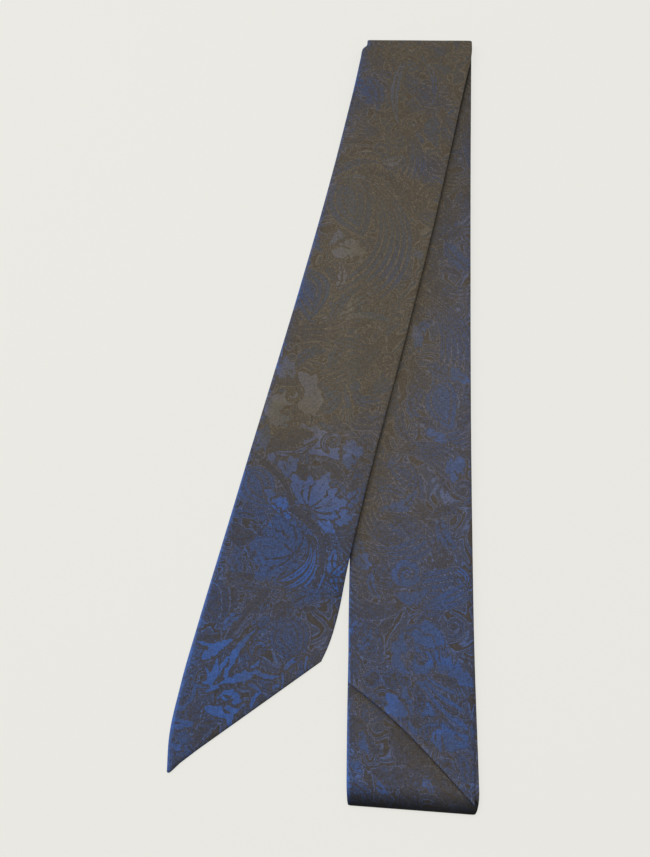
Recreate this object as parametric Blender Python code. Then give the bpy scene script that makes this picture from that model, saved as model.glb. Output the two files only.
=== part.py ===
"""A slim two-ply silk wild rag, folded in four and laid flat, with its top stretch swung aside.

The strip runs: loose stretch, outer top fold, lowest layer, bottom fold, second layer, inner top fold, under
stretch. Both ends are cut on the slant. +Z is up, +Y runs from the bottom fold to the top folds, and the origin
is the middle of the box that the rag fills, at table level.
"""

from collections import namedtuple

import bmesh
import bpy
import numpy as np

# Driving dimensions, in millimetres
STRIP_WIDTH = 65.0  # two and a half inches
FOLDED_LENGTH = 451.0  # from the bottom fold to the outer top fold, down the stack's middle
CUT_BOW = 3.9  # how far the under stretch's slanted end bows back from a straight line, near its left end
CUT_BOW_RIGHT = 2.1  # the same near its right end
CLOTH = 1.4  # two plies of silk and the air between them
GAP = 0.3  # between one layer and the next
LAYER_PITCH = CLOTH + GAP
TAIL_DOWN = 14.7  # where the hidden ends of the two top folds stop, below the outer top fold
DROP_REACH = 21.0  # how far from the stack's edge the loose stretch takes to come down to the table
EDGE_CLEAR = 1.0  # how far clear of the stack's side its free edge is where it starts to come down
BOTTOM_ROLL = 9.0  # how far up the bottom fold the cloth's upper side rounds away
BOTTOM_HEEL = 2.0  # the same for its underside
CORNER_LENGTH = 11.0  # how far up the bottom fold its corners round away, seen from above
LEFT_NIP, RIGHT_NIP = 1.0, 3.0  # how far in they go
EDGE_GROOVE = 2.2  # depth of the groove between the two folded layers, at their edges

# Level of the underside of the second layer, the under stretch and the loose stretch. The lowest is at 0.
SECOND, UNDER, LOOSE = (LAYER_PITCH * step for step in (1, 2, 3))
LAYERS_TOP = SECOND + CLOTH

# Counts along and across the pieces
LOOSE_COLUMNS, UNDER_COLUMNS = 17, 7
LOOSE_ROWS, UNDER_ROWS, LAYER_ROWS = 46, 26, 24
FOLD_ROWS, TAIL_ROWS, ROLL_ROWS = 7, 2, 10
EDGE_SWING = np.radians([45.0, 0.0, -45.0])  # the points that round a cloth edge, from its upper side
END_SWING = np.radians([40.0, 72.0])  # the rings that round a slanted end
ROLL_SWING = np.radians(86.0)  # where the bottom fold's roll is closed off

# Outline of each stretch, one row for each place along it: how far its left and right edges are shifted to the
# right of where a straight stack has them, and how far down they are from the outer top fold. The strip's edges
# run smoothly through the rows.
Place = namedtuple("Place", "left_shift left_down right_shift right_down")
LOOSE_OUTLINE = (
    Place(left_shift=0.4, left_down=3.7, right_shift=0.6, right_down=1.6),
    Place(left_shift=0.0, left_down=6.0, right_shift=0.6, right_down=7.0),
    Place(left_shift=-2.4, left_down=8.7, right_shift=-0.1, right_down=14.0),
    Place(left_shift=-3.6, left_down=16.0, right_shift=-1.3, right_down=20.0),
    Place(left_shift=-6.2, left_down=32.1, right_shift=-4.0, right_down=33.5),
    Place(left_shift=-14.3, left_down=75.7, right_shift=-12.1, right_down=76.5),
    Place(left_shift=-25.3, left_down=131.0, right_shift=-22.5, right_down=130.5),
    Place(left_shift=-36.4, left_down=183.1, right_shift=-33.1, right_down=180.5),
    Place(left_shift=-47.4, left_down=232.3, right_shift=-44.1, right_down=230.5),
    Place(left_shift=-57.9, left_down=278.8, right_shift=-54.6, right_down=276.5),
    Place(left_shift=-67.6, left_down=322.5, right_shift=-62.7, right_down=314.5),
    Place(left_shift=-77.4, left_down=366.5, right_shift=-67.3, right_down=339.0),
    Place(left_shift=-83.6, left_down=396.6, right_shift=-70.9, right_down=359.5),
    Place(left_shift=-87.2, left_down=423.3, right_shift=-75.2, right_down=375.0),
    Place(left_shift=-86.8, left_down=437.4, right_shift=-78.1, right_down=381.8),
)
UNDER_OUTLINE = (
    Place(left_shift=0.4, left_down=3.7, right_shift=0.5, right_down=1.6),
    Place(left_shift=-0.3, left_down=90.0, right_shift=-0.7, right_down=90.0),
    Place(left_shift=-0.6, left_down=235.0, right_shift=-1.9, right_down=240.0),
    Place(left_shift=-0.6, left_down=330.0, right_shift=-2.2, right_down=340.0),
    Place(left_shift=0.0, left_down=372.0, right_shift=-1.7, right_down=410.0),
    Place(left_shift=0.7, left_down=391.8, right_shift=-1.9, right_down=447.0),
)
LAYERS_OUTLINE = (
    Place(left_shift=0.4, left_down=15.0, right_shift=0.4, right_down=15.0),
    Place(left_shift=-0.1, left_down=130.0, right_shift=-0.9, right_down=130.0),
    Place(left_shift=-0.2, left_down=300.0, right_shift=-1.6, right_down=300.0),
    Place(left_shift=0.3, left_down=385.0, right_shift=-0.8, right_down=386.0),
    Place(left_shift=0.9, left_down=425.0, right_shift=0.3, right_down=427.0),
    Place(left_shift=1.5, left_down=450.0, right_shift=0.9, right_down=452.0),
)

# Finish of each piece: base colour, roughness and metallic value
Finish = namedtuple("Finish", "colour roughness metallic")
BRONZE_SILK = Finish(colour=(0.089, 0.074, 0.055, 1.0), roughness=0.5, metallic=0.0)
BROWN_SILK = Finish(colour=(0.080, 0.068, 0.058, 1.0), roughness=0.5, metallic=0.0)
SLATE_SILK = Finish(colour=(0.060, 0.066, 0.090, 1.0), roughness=0.5, metallic=0.0)


def clear_scene():
    """Remove every object that the file starts with."""
    for thing in list(bpy.data.objects):
        bpy.data.objects.remove(thing, do_unlink=True)


def smooth_through(knots, values, at):
    """A cubic curve through the rows of values, each row's slope taken from its neighbours."""
    slopes = np.gradient(values, knots, axis=0)
    start = np.clip(np.searchsorted(knots, at) - 1, 0, len(knots) - 2)
    span = (knots[start + 1] - knots[start])[:, None]
    t = (at - knots[start])[:, None] / span
    return (
        (2 * t**3 - 3 * t**2 + 1) * values[start]
        + (t**3 - 2 * t**2 + t) * span * slopes[start]
        + (3 * t**2 - 2 * t**3) * values[start + 1]
        + (t**3 - t**2) * span * slopes[start + 1]
    )


def smooth_step(share):
    """0 below 0, 1 above 1, and an easy curve between."""
    share = np.clip(share, 0.0, 1.0)
    return share * share * (3.0 - 2.0 * share)


def quarter_round(share):
    """0 at 0 and 1 from 1 up, along a quarter of a circle."""
    return np.sqrt(1.0 - np.clip(1.0 - share, 0.0, 1.0) ** 2)


def plan(outline):
    """The outline's rows as left x, left y, right x and right y, with x = 0 down the stack's middle."""
    shifts = np.array(outline, float)
    half = STRIP_WIDTH / 2
    return shifts * (1, -1, 1, -1) + (-half, FOLDED_LENGTH / 2, half, FOLDED_LENGTH / 2)


def edge_lines(outline, rows):
    """Left and right edge of a stretch, each an array of rows x (x, y), inset by half the cloth's thickness."""
    table = plan(outline)
    left, right = table[:, 0:2], table[:, 2:4]
    steps = np.linalg.norm(np.diff((left + right) / 2, axis=0), axis=1)
    knots = np.concatenate([[0.0], np.cumsum(steps)])
    lines = smooth_through(knots, table, np.linspace(0.0, knots[-1], rows))
    return lines[:, 0:2] + (CLOTH / 2, 0.0), lines[:, 2:4] - (CLOTH / 2, 0.0)


def between(left, right, columns):
    """Rows of points spread evenly from the left edge to the right, at level 0."""
    share = np.linspace(0.0, 1.0, columns)[None, :, None]
    flat = left[:, None, :] * (1.0 - share) + right[:, None, :] * share
    return np.concatenate([flat, np.zeros(flat.shape[:2] + (1,))], axis=2)


def fold_over(stretch, radius):
    """The stretch with a top fold and a hidden tail ahead of it: a half circle below its first row, then flat."""
    first = stretch[0]
    turns = np.linspace(np.pi, 0.0, FOLD_ROWS + 1)[:-1, None]
    fold = np.repeat(first[None], FOLD_ROWS, axis=0)
    fold[:, :, 1] += radius * np.sin(turns)
    fold[:, :, 2] -= radius * (1.0 - np.cos(turns))
    tail = np.repeat(fold[:1], TAIL_ROWS, axis=0)
    tail_end = FOLDED_LENGTH / 2 - TAIL_DOWN
    tail[:, :, 1] = np.linspace(np.full(len(first), tail_end), fold[0, :, 1], TAIL_ROWS + 1)[:-1]
    return np.concatenate([tail, fold, stretch])


def unit(vectors):
    """The vectors, each scaled to length 1."""
    return vectors / np.linalg.norm(vectors, axis=-1, keepdims=True)


def cloth_rings(middle):
    """Closed rings round a sheet given by its middle surface: upper side, round edge, underside, round edge."""
    half = CLOTH / 2
    across = unit(np.gradient(middle, axis=1))
    along = unit(np.gradient(middle, axis=0))
    up = unit(np.cross(along, across))
    right = [middle[:, -1] + half * (np.cos(a) * across[:, -1] + np.sin(a) * up[:, -1]) for a in EDGE_SWING]
    left = [middle[:, 0] - half * (np.cos(a) * across[:, 0] + np.sin(a) * up[:, 0]) for a in EDGE_SWING]
    upper = middle + half * up
    lower = (middle - half * up)[:, ::-1]
    rings = np.concatenate([upper, np.stack(right, axis=1), lower, np.stack(left, axis=1)], axis=1)
    return rings, along


def round_end(rings, middle, along):
    """The rings with the sheet's far end rounded off: two more rings, each further out and thinner."""
    edge = len(EDGE_SWING)
    spine, outward = (
        np.concatenate([line, np.repeat(line[-1:], edge, 0), line[::-1], np.repeat(line[:1], edge, 0)])
        for line in (middle[-1], along[-1])
    )
    extra = [
        spine + outward * CLOTH / 2 * np.sin(a) + (rings[-1] - spine) * np.cos(a) for a in END_SWING
    ]
    return np.concatenate([rings, np.array(extra)])


def add_solid(name, rings, finish):
    """One closed solid through the rings, in metres, with its own material."""
    rows, count = rings.shape[:2]
    bm = bmesh.new()
    verts = [[bm.verts.new(point * 0.001) for point in ring] for ring in rings]
    for near, far in zip(verts, verts[1:]):
        for here in range(count):
            after = (here + 1) % count
            bm.faces.new((near[here], near[after], far[after], far[here]))
    for end in (verts[0], verts[-1]):
        bm.faces.new(end)
    bmesh.ops.recalc_face_normals(bm, faces=bm.faces[:])
    mesh = bpy.data.meshes.new(name)
    bm.to_mesh(mesh)
    bm.free()
    mesh.shade_smooth()
    material = bpy.data.materials.new(name)
    material.use_nodes = True
    shader = material.node_tree.nodes["Principled BSDF"]
    shader.inputs["Base Color"].default_value = finish.colour
    shader.inputs["Roughness"].default_value = finish.roughness
    shader.inputs["Metallic"].default_value = finish.metallic
    mesh.materials.append(material)
    bpy.context.scene.collection.objects.link(bpy.data.objects.new(name, mesh))


def loose_stretch():
    """Rings of the top stretch, which lies on the stack at its upper right and on the table beside it."""
    middle = between(*edge_lines(LOOSE_OUTLINE, LOOSE_ROWS), LOOSE_COLUMNS)
    stack_edge = plan(LAYERS_OUTLINE)[:, 0].min()
    _, _, free_x, free_y = plan(LOOSE_OUTLINE)[::-1].T
    leaves_stack = np.interp(stack_edge - EDGE_CLEAR, free_x, free_y)
    beside = np.maximum(stack_edge - middle[:, :, 0], 0.0)
    below = np.maximum(leaves_stack - middle[:, :, 1], 0.0)
    come_down = smooth_step(np.hypot(beside, below) / DROP_REACH)
    middle[:, :, 2] = CLOTH / 2 + LOOSE * (1.0 - come_down)
    middle = fold_over(middle, radius=LOOSE / 2)
    rings, along = cloth_rings(middle)
    return round_end(rings, middle, along)


def under_stretch():
    """Rings of the stretch in line with the stack, flat on the second layer."""
    middle = between(*edge_lines(UNDER_OUTLINE, UNDER_ROWS), UNDER_COLUMNS)
    across = np.linspace(0.0, 1.0, UNDER_COLUMNS)
    near_end = np.linspace(0.0, 1.0, UNDER_ROWS)[:, None] ** 3
    bow = CUT_BOW * (1.0 - across) + CUT_BOW_RIGHT * across
    middle[:, :, 1] += near_end * bow * np.sin(np.pi * across)
    middle[:, :, 2] = CLOTH / 2 + UNDER
    middle = fold_over(middle, radius=(UNDER - SECOND) / 2)
    rings, along = cloth_rings(middle)
    return round_end(rings, middle, along)


def folded_layers():
    """Rings of the two lowest layers: round edges with a groove between, and a soft roll at the bottom fold."""
    half = CLOTH / 2
    nip = half * (1.0 - np.cos(EDGE_SWING[0]))
    # Each side of a ring, from the underside up: how far in from the edge, and the level
    side = [(half, 0.0), (nip, nip), (0.0, half), (nip, CLOTH - nip), (EDGE_GROOVE, CLOTH)]
    side += [(inset, LAYERS_TOP - level) for inset, level in reversed(side)]
    inset, level = np.array(side).T
    roll = BOTTOM_ROLL * (1.0 - np.sin(np.linspace(0.0, ROLL_SWING, ROLL_ROWS)[1:]))
    table = plan(LAYERS_OUTLINE)
    length = table[0, 1] - table[-1, 1]
    to_end = np.concatenate([np.linspace(length, BOTTOM_ROLL, LAYER_ROWS), roll])
    edges = smooth_through(table[0, 1] - table[:, 1], table, length - to_end)
    crown = quarter_round(to_end / BOTTOM_ROLL)
    heel = quarter_round(to_end / BOTTOM_HEEL)
    corner = 1.0 - quarter_round(to_end / CORNER_LENGTH)
    middle = LAYERS_TOP / 2
    rings = []
    for place, nook, top, foot in zip(edges, corner, crown, heel):
        left_x, left_y, right_x, right_y = place
        z = np.where(level > middle, middle + (level - middle) * top, middle - (middle - level) * foot)
        depth = np.where(inset > half, half + (inset - half) * top, inset)
        right = right_x - RIGHT_NIP * nook - depth
        left = left_x + LEFT_NIP * nook + depth
        slope = (right_y - left_y) / (right_x - left_x)
        one = np.column_stack([right, left_y + slope * (right - left_x), z])
        other = np.column_stack([left, left_y + slope * (left - left_x), z])
        rings.append(np.concatenate([one, other[::-1]]))
    return np.array(rings)


def build():
    """Work out each solid's rings, centre them on the origin, and make the objects."""
    clear_scene()
    pieces = {
        "loose_stretch": (loose_stretch(), BRONZE_SILK),
        "under_stretch": (under_stretch(), BROWN_SILK),
        "folded_layers": (folded_layers(), SLATE_SILK),
    }
    points = np.concatenate([rings.reshape(-1, 3) for rings, _ in pieces.values()])
    centre = (points.min(axis=0) + points.max(axis=0)) / 2
    centre[2] = 0.0
    for name, (rings, finish) in pieces.items():
        add_solid(name, rings - centre, finish)


build()
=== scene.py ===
"""Looks of a slim two-ply silk wild rag, folded in four and laid flat with its top stretch swung aside.

The rag is one strip of shot jacquard silk, folded lengthwise, seamed along one edge and cut on the slant at
both ends. Each stretch of it is a sewn tube, pressed flat: an outer surface worked out on a grid, and an
inner one. The woven drawing of scrolls, leaves and blossoms is a signed distance in millimetres, stored on
the cloth's points in the flat strip's own coordinates, and the silk's material turns it into figure, ground
and outline.
"""

from __future__ import annotations

import logging
import math
from dataclasses import dataclass, field
from enum import Enum

import bpy
import numpy as np
from mathutils import Matrix, Vector

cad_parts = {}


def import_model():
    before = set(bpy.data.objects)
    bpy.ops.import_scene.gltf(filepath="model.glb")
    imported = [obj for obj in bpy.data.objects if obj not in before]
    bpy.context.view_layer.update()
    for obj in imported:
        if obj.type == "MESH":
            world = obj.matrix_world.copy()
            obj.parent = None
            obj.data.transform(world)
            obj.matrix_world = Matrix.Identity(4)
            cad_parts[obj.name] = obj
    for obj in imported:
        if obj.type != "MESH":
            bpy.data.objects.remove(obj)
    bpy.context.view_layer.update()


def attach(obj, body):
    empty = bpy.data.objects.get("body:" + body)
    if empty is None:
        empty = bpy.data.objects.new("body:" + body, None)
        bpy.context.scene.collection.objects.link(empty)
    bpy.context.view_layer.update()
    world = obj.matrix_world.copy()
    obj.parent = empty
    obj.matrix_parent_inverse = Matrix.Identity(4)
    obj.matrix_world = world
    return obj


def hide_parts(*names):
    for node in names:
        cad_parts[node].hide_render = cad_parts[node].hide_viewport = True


LOG = logging.getLogger("wild_rag")
Span = tuple[float, float]
MM = 0.001

# The strip's driving sizes, in millimetres, as the solids have them
STRIP_WIDTH = 65.0
FOLDED_LENGTH = 451.0
LAYER_PITCH = 1.7
SOLID_CLOTH = 1.4
DROP_REACH = 21.0
EDGE_CLEAR = 1.0
CENTRE_RIGHT = -42.97  # the origin, from the stack's middle line
CENTRE_DOWN = 225.08  # and from its top

# The silk itself
PLIES = 1.2  # two plies pressed together
WALL = 0.42  # one ply
TURNING = 0.03  # past this many radians from one row to the next, the inside keeps the row
BACK_PITCH = 2.4  # spacing of the points on the plies that lie face down
INNER_PITCH = 9.0  # spacing of the rows inside the tube
END_SWING = (0.0, 25.0, 48.0, 68.0, 84.0)  # degrees round a turned end, at its last rows
BOW_LEFT = 3.9  # how far the under stretch's slanted end bows back at its left, and at its right
BOW_RIGHT = 2.1
NO_COVER = 99.0  # distance from a covering edge where nothing covers
UNDER_EDGE = 0.8  # how far in under a covering edge its shade still falls off

# The woven drawing
FAR = 9.0  # as good as outside every figure, and away from every rib
MOAT = 0.95  # bare ground round a figure that is laid over another
CUT_LINE = 0.3  # from a cut figure's edge to where its ribs may start
REACH_SHARE = 1.15  # a motif reaches this share of its size, and this many millimetres more
REACH_MORE = 2.0
SIDE_SLOPE = 0.85  # a distance measured square to the spine, as one square to the outline


@dataclass(frozen=True)
class Place:
    """Where the strip's two edges are, in millimetres.

    Shifts are to the right of a straight stack's edges, and distances are down from its top.
    """

    left_shift: float
    left_down: float
    right_shift: float
    right_down: float


# Outlines, from the top down: left shift, left down, right shift, right down
LOOSE_OUTLINE = (
    Place(0.4, 3.7, 0.6, 1.6),
    Place(0.0, 6.0, 0.6, 7.0),
    Place(-2.4, 8.7, -0.1, 14.0),
    Place(-3.6, 16.0, -1.3, 20.0),
    Place(-6.2, 32.1, -4.0, 33.5),
    Place(-14.3, 75.7, -12.1, 76.5),
    Place(-25.3, 131.0, -22.5, 130.5),
    Place(-36.4, 183.1, -33.1, 180.5),
    Place(-47.4, 232.3, -44.1, 230.5),
    Place(-57.9, 278.8, -54.6, 276.5),
    Place(-67.6, 322.5, -62.7, 314.5),
    Place(-77.4, 366.5, -67.3, 339.0),
    Place(-83.6, 396.6, -70.9, 359.5),
    Place(-87.2, 423.3, -75.2, 375.0),
    Place(-86.8, 437.4, -78.1, 381.8),
)
UNDER_OUTLINE = (
    Place(0.4, 3.7, 0.5, 1.6),
    Place(-0.3, 90.0, -0.7, 90.0),
    Place(-0.6, 235.0, -1.9, 240.0),
    Place(-0.6, 330.0, -2.2, 340.0),
    Place(0.0, 372.0, -1.7, 410.0),
    Place(0.7, 391.8, -1.9, 447.0),
)
LAYERS_OUTLINE = (
    Place(0.4, 15.0, 0.4, 15.0),
    Place(-0.1, 130.0, -0.9, 130.0),
    Place(-0.2, 300.0, -1.6, 300.0),
    Place(0.3, 385.0, -0.8, 386.0),
    Place(0.9, 425.0, 0.3, 427.0),
    Place(1.5, 450.0, 0.9, 452.0),
)


def smooth_through(knots: np.ndarray, values: np.ndarray, at: np.ndarray) -> np.ndarray:
    """A cubic Hermite curve through rows of values, each row's slope taken from its neighbours.

    Args:
        knots: the distance at which each row stands, rising.
        values: one row of numbers for each knot.
        at: the distances to read.

    Returns:
        One row of numbers for each distance read.
    """
    slopes = np.gradient(values, knots, axis=0)
    start = np.clip(np.searchsorted(knots, at) - 1, 0, len(knots) - 2)
    span = (knots[start + 1] - knots[start])[:, None]
    t = (at - knots[start])[:, None] / span
    return (
        (2 * t**3 - 3 * t**2 + 1) * values[start]
        + (t**3 - 2 * t**2 + t) * span * slopes[start]
        + (3 * t**2 - 2 * t**3) * values[start + 1]
        + (t**3 - t**2) * span * slopes[start + 1]
    )


def smooth_step(share: np.ndarray) -> np.ndarray:
    """0 below 0, 1 above 1, and 3x^2 - 2x^3 between."""
    share = np.clip(share, 0.0, 1.0)
    return share * share * (3.0 - 2.0 * share)


def unit(vectors: np.ndarray) -> np.ndarray:
    """The vectors, each divided by its length."""
    return vectors / np.linalg.norm(vectors, axis=-1, keepdims=True)


def plan(outline: tuple[Place, ...]) -> np.ndarray:
    """The outline's rows as left x, left y, right x and right y, with x = 0 down the stack's middle.

    Args:
        outline: the rows, from the top down.

    Returns:
        One row of four numbers for each row, in millimetres.
    """
    rows = [(p.left_shift, -p.left_down, p.right_shift, -p.right_down) for p in outline]
    half = STRIP_WIDTH / 2
    return np.array(rows) + (-half, FOLDED_LENGTH / 2, half, FOLDED_LENGTH / 2)


def slant_bow(share: np.ndarray) -> np.ndarray:
    """How far the under stretch's slanted end bows back from a straight cut: b(share) sin(pi share)."""
    return (BOW_LEFT * (1.0 - share) + BOW_RIGHT * share) * np.sin(np.pi * share)


@dataclass(frozen=True)
class Falloff:
    """A change that is strongest at an edge and dies away from it: amount e^(-distance / reach)."""

    amount: float
    reach: float

    def at(self, distance: np.ndarray) -> np.ndarray:
        """The change at each distance."""
        return self.amount * np.exp(-distance / self.reach)


@dataclass(frozen=True)
class Wave:
    """A wave over the cloth, sin(down / a + right / b + start), with a and b in millimetres a radian."""

    down: float
    right: float
    start: float = 0.0

    def at(self, right: np.ndarray, down: np.ndarray) -> np.ndarray:
        """The wave at each point, from -1 to 1."""
        return np.sin(down / self.down + right / self.right + self.start)


def bent_spine(
    x: np.ndarray, y: np.ndarray, length: float, bend: float
) -> tuple[np.ndarray, np.ndarray, np.ndarray]:
    """How points lie about a bent spine, the parabola y = 4 b L t (1 - t) for t from 0 to 1.

    Args:
        x: millimetres forward of the root.
        y: millimetres to the side.
        length: L, the spine's length.
        bend: b, how far its middle stands aside, as a share of the length.

    Returns:
        The share t, the distance to the spine's side, and the distance past its nearer end.
    """
    share = np.clip(x / length, 0.0, 1.0)
    side = np.abs(y - bend * length * 4.0 * share * (1.0 - share))
    beyond = np.maximum(np.maximum(-x, x - length), 0.0)
    return share, side, beyond


def round_spine(half: np.ndarray, side: np.ndarray, beyond: np.ndarray) -> np.ndarray:
    """Signed distance to a form of the given half width about a spine, positive inside."""
    return np.where(beyond > 0.0, -np.hypot(side, beyond), (half - side) * SIDE_SLOPE)


@dataclass
class Fields:
    """What the woven drawing is at each point of the cloth: arrays of one length, in millimetres."""

    figure: np.ndarray
    rib: np.ndarray
    tone: np.ndarray

    @classmethod
    def bare(cls, count: int) -> Fields:
        """Plain ground: far outside any figure, and far from any rib."""
        return cls(np.full(count, -FAR), np.full(count, FAR), np.zeros(count))

    def lay_over(self, where: np.ndarray, figure: np.ndarray, rib: np.ndarray, tone: float) -> None:
        """Draw one motif over what is there, with a moat of bare ground round it.

        The new figure is the larger of the motif's distance and of the old one cut back by the moat.

        Args:
            where: indices of the points that the motif reaches.
            figure: its signed distance at them, positive inside.
            rib: the distance to its nearest inner line.
            tone: how bright its weave is, from 0 to 1.
        """
        cut = -(figure + MOAT)
        old_figure, old_rib = self.figure[where], self.rib[where]
        self.figure[where] = np.maximum(figure, np.minimum(old_figure, cut))
        self.rib[where] = np.minimum(
            np.maximum(old_rib, CUT_LINE - cut), np.maximum(rib, CUT_LINE - figure)
        )
        self.tone[where] = np.where(figure > -MOAT, tone, self.tone[where])


@dataclass(frozen=True)
class Motif:
    """One woven figure: where it is rooted, how far it reaches, and which way it grows.

    Distances are in millimetres, right of the stretch's left edge and down from its top fold. A turn of 0
    grows to the right and 90 grows down. The tone is how bright its weave is, from 0 to 1.
    """

    right: float
    down: float
    size: float
    turn: float = 0.0
    tone: float = 0.5
    flip: bool = False

    @property
    def reach(self) -> float:
        """How far from its root the motif can touch a point."""
        return self.size * REACH_SHARE + REACH_MORE

    def local(self, right: np.ndarray, down: np.ndarray) -> tuple[np.ndarray, np.ndarray]:
        """The points in the motif's own frame, forward and sideways.

        Args:
            right: millimetres from the stretch's left edge.
            down: millimetres from its top fold.

        Returns:
            Millimetres forward of the root, and to the side.
        """
        angle = math.radians(self.turn)
        dx, dy = right - self.right, down - self.down
        forward = dx * math.cos(angle) + dy * math.sin(angle)
        side = dy * math.cos(angle) - dx * math.sin(angle)
        return forward, -side if self.flip else side

    def draw(self, x: np.ndarray, y: np.ndarray) -> tuple[np.ndarray, np.ndarray]:
        """Signed distance to the outline and distance to the nearest inner line, in the motif's own frame."""
        raise NotImplementedError


@dataclass(frozen=True)
class Leaf(Motif):
    """A curved leaf with forward-swept lobes.

    Its half width is L w sin(pi t^belly)^fullness, cut in by notches that go as |sin|.
    """

    width: float = 0.2
    bend: float = 0.15
    lobes: float = 4.0
    notch: float = 0.45
    belly: float = 0.75
    fullness: float = 0.8
    sweep: float = 0.7
    notch_power: float = 1.6
    vein_start: float = 0.22
    vein_thinning: float = 0.12
    veins_a_lobe: float = 1.5
    fewest_veins: float = 3.0
    spine_to: float = 0.85

    def draw(self, x: np.ndarray, y: np.ndarray) -> tuple[np.ndarray, np.ndarray]:
        """Distance is half width less that from the bent spine; ribs are the spine and slanted veins.

        Args:
            x: millimetres forward of the root.
            y: millimetres to the side.

        Returns:
            Signed distance to the outline, positive inside, and distance to the nearest inner line.
        """
        length = self.size
        share, side, beyond = bent_spine(x, y, length, self.bend)
        swept = np.clip((x - self.sweep * side) / length, 0.0, 1.0)
        teeth = 1.0 - self.notch * (1.0 - np.abs(np.sin(self.lobes * np.pi * swept))) ** self.notch_power
        half = length * self.width * np.sin(np.pi * share**self.belly) ** self.fullness * teeth
        pitch = length / max(self.lobes * self.veins_a_lobe, self.fewest_veins)
        vein = np.abs((swept * length / pitch) % 1.0 - 0.5) * pitch
        vein = np.where(side > self.vein_start * half, vein, FAR) + self.vein_thinning
        spine = side + np.maximum(share - self.spine_to, 0.0) * length
        return round_spine(half, side, beyond), np.minimum(spine, vein)


@dataclass(frozen=True)
class Scroll(Motif):
    """A tapering spiral about its root: r = R e^(-k t) for turns of t, ending in a round eye."""

    windings: float = 1.6
    heft: float = 0.14
    innermost: float = 0.2
    eye: float = 0.17
    swell_in: float = 1.4
    broadest: float = 1.15
    beads: float = 4.0
    bead_depth: float = 0.25
    least_half: float = 0.1
    eye_rim: float = 0.7
    rib_thinning: float = 0.1
    nearest: float = 0.02

    def draw(self, x: np.ndarray, y: np.ndarray) -> tuple[np.ndarray, np.ndarray]:
        """Distance is the band's half width less the distance to the nearest winding's centre line.

        Args:
            x: millimetres forward of the root.
            y: millimetres to the side.

        Returns:
            Signed distance to the outline, positive inside, and distance to the nearest inner line.
        """
        full = 2.0 * np.pi * self.windings
        rate = math.log(1.0 / self.innermost) / full
        radius = np.maximum(np.hypot(x, y), self.nearest)
        angle = np.arctan2(y, x) % (2.0 * np.pi)
        turn = np.round((-np.log(radius / self.size) / rate - angle) / (2.0 * np.pi))
        wound = angle + 2.0 * np.pi * np.clip(turn, 0, math.ceil(self.windings) - 1)
        along = np.clip(wound, 0.0, full)
        ring = self.size * np.exp(-rate * along)
        beaded = 1.0 - self.bead_depth + self.bead_depth * np.abs(np.sin(along * self.beads))
        taper = smooth_step(along / self.swell_in) * beaded
        past = np.maximum(wound - full, 0.0)
        away = np.hypot(radius - ring, past * ring)
        band = self.heft * ring * self.broadest * taper + self.least_half - away
        eye = self.eye * self.size - radius
        rib = np.minimum(np.abs(radius - ring), np.abs(eye - self.eye_rim))
        return np.maximum(band, eye), rib + self.rib_thinning


@dataclass(frozen=True)
class Plume(Motif):
    """A fan of ribbons on nearly concentric arcs, close at the root and spreading: r = R + i pitch(s)."""

    ribbons: int = 5
    radius: float = 40.0
    pitch: float = 3.4
    heft: float = 0.36
    root_pitch: float = 0.32
    stagger: float = 0.05
    later: float = 0.6
    shorter: float = 1.3
    opening: float = 1.3
    fullness: float = 0.55
    rib_thinning: float = 0.16

    def draw(self, x: np.ndarray, y: np.ndarray) -> tuple[np.ndarray, np.ndarray]:
        """Distance is half a ribbon's width less the distance to the nearest ribbon's centre line.

        Args:
            x: millimetres forward of the root.
            y: millimetres to the side.

        Returns:
            Signed distance to the outline, positive inside, and distance to the nearest inner line.
        """
        angle = np.arctan2(x, y + self.radius)
        share = angle * self.radius / self.size
        offset = np.hypot(x, y + self.radius) - self.radius
        spread = self.pitch * (self.root_pitch + (1.0 - self.root_pitch) * smooth_step(share * self.opening))
        middle = (self.ribbons - 1) / 2
        rank = np.clip(np.round(offset / spread + middle), 0, self.ribbons - 1) - middle
        stagger = self.stagger * (rank + middle)
        inside = (share - stagger * self.later) / (1.0 - stagger * self.shorter)
        away = np.abs(offset - rank * spread)
        half = self.heft * spread * np.sin(np.pi * np.clip(inside, 0.0, 1.0)) ** self.fullness
        beyond = np.maximum(np.maximum(-inside, inside - 1.0), 0.0) * self.size
        return half - np.hypot(away, beyond), away + self.rib_thinning


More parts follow.
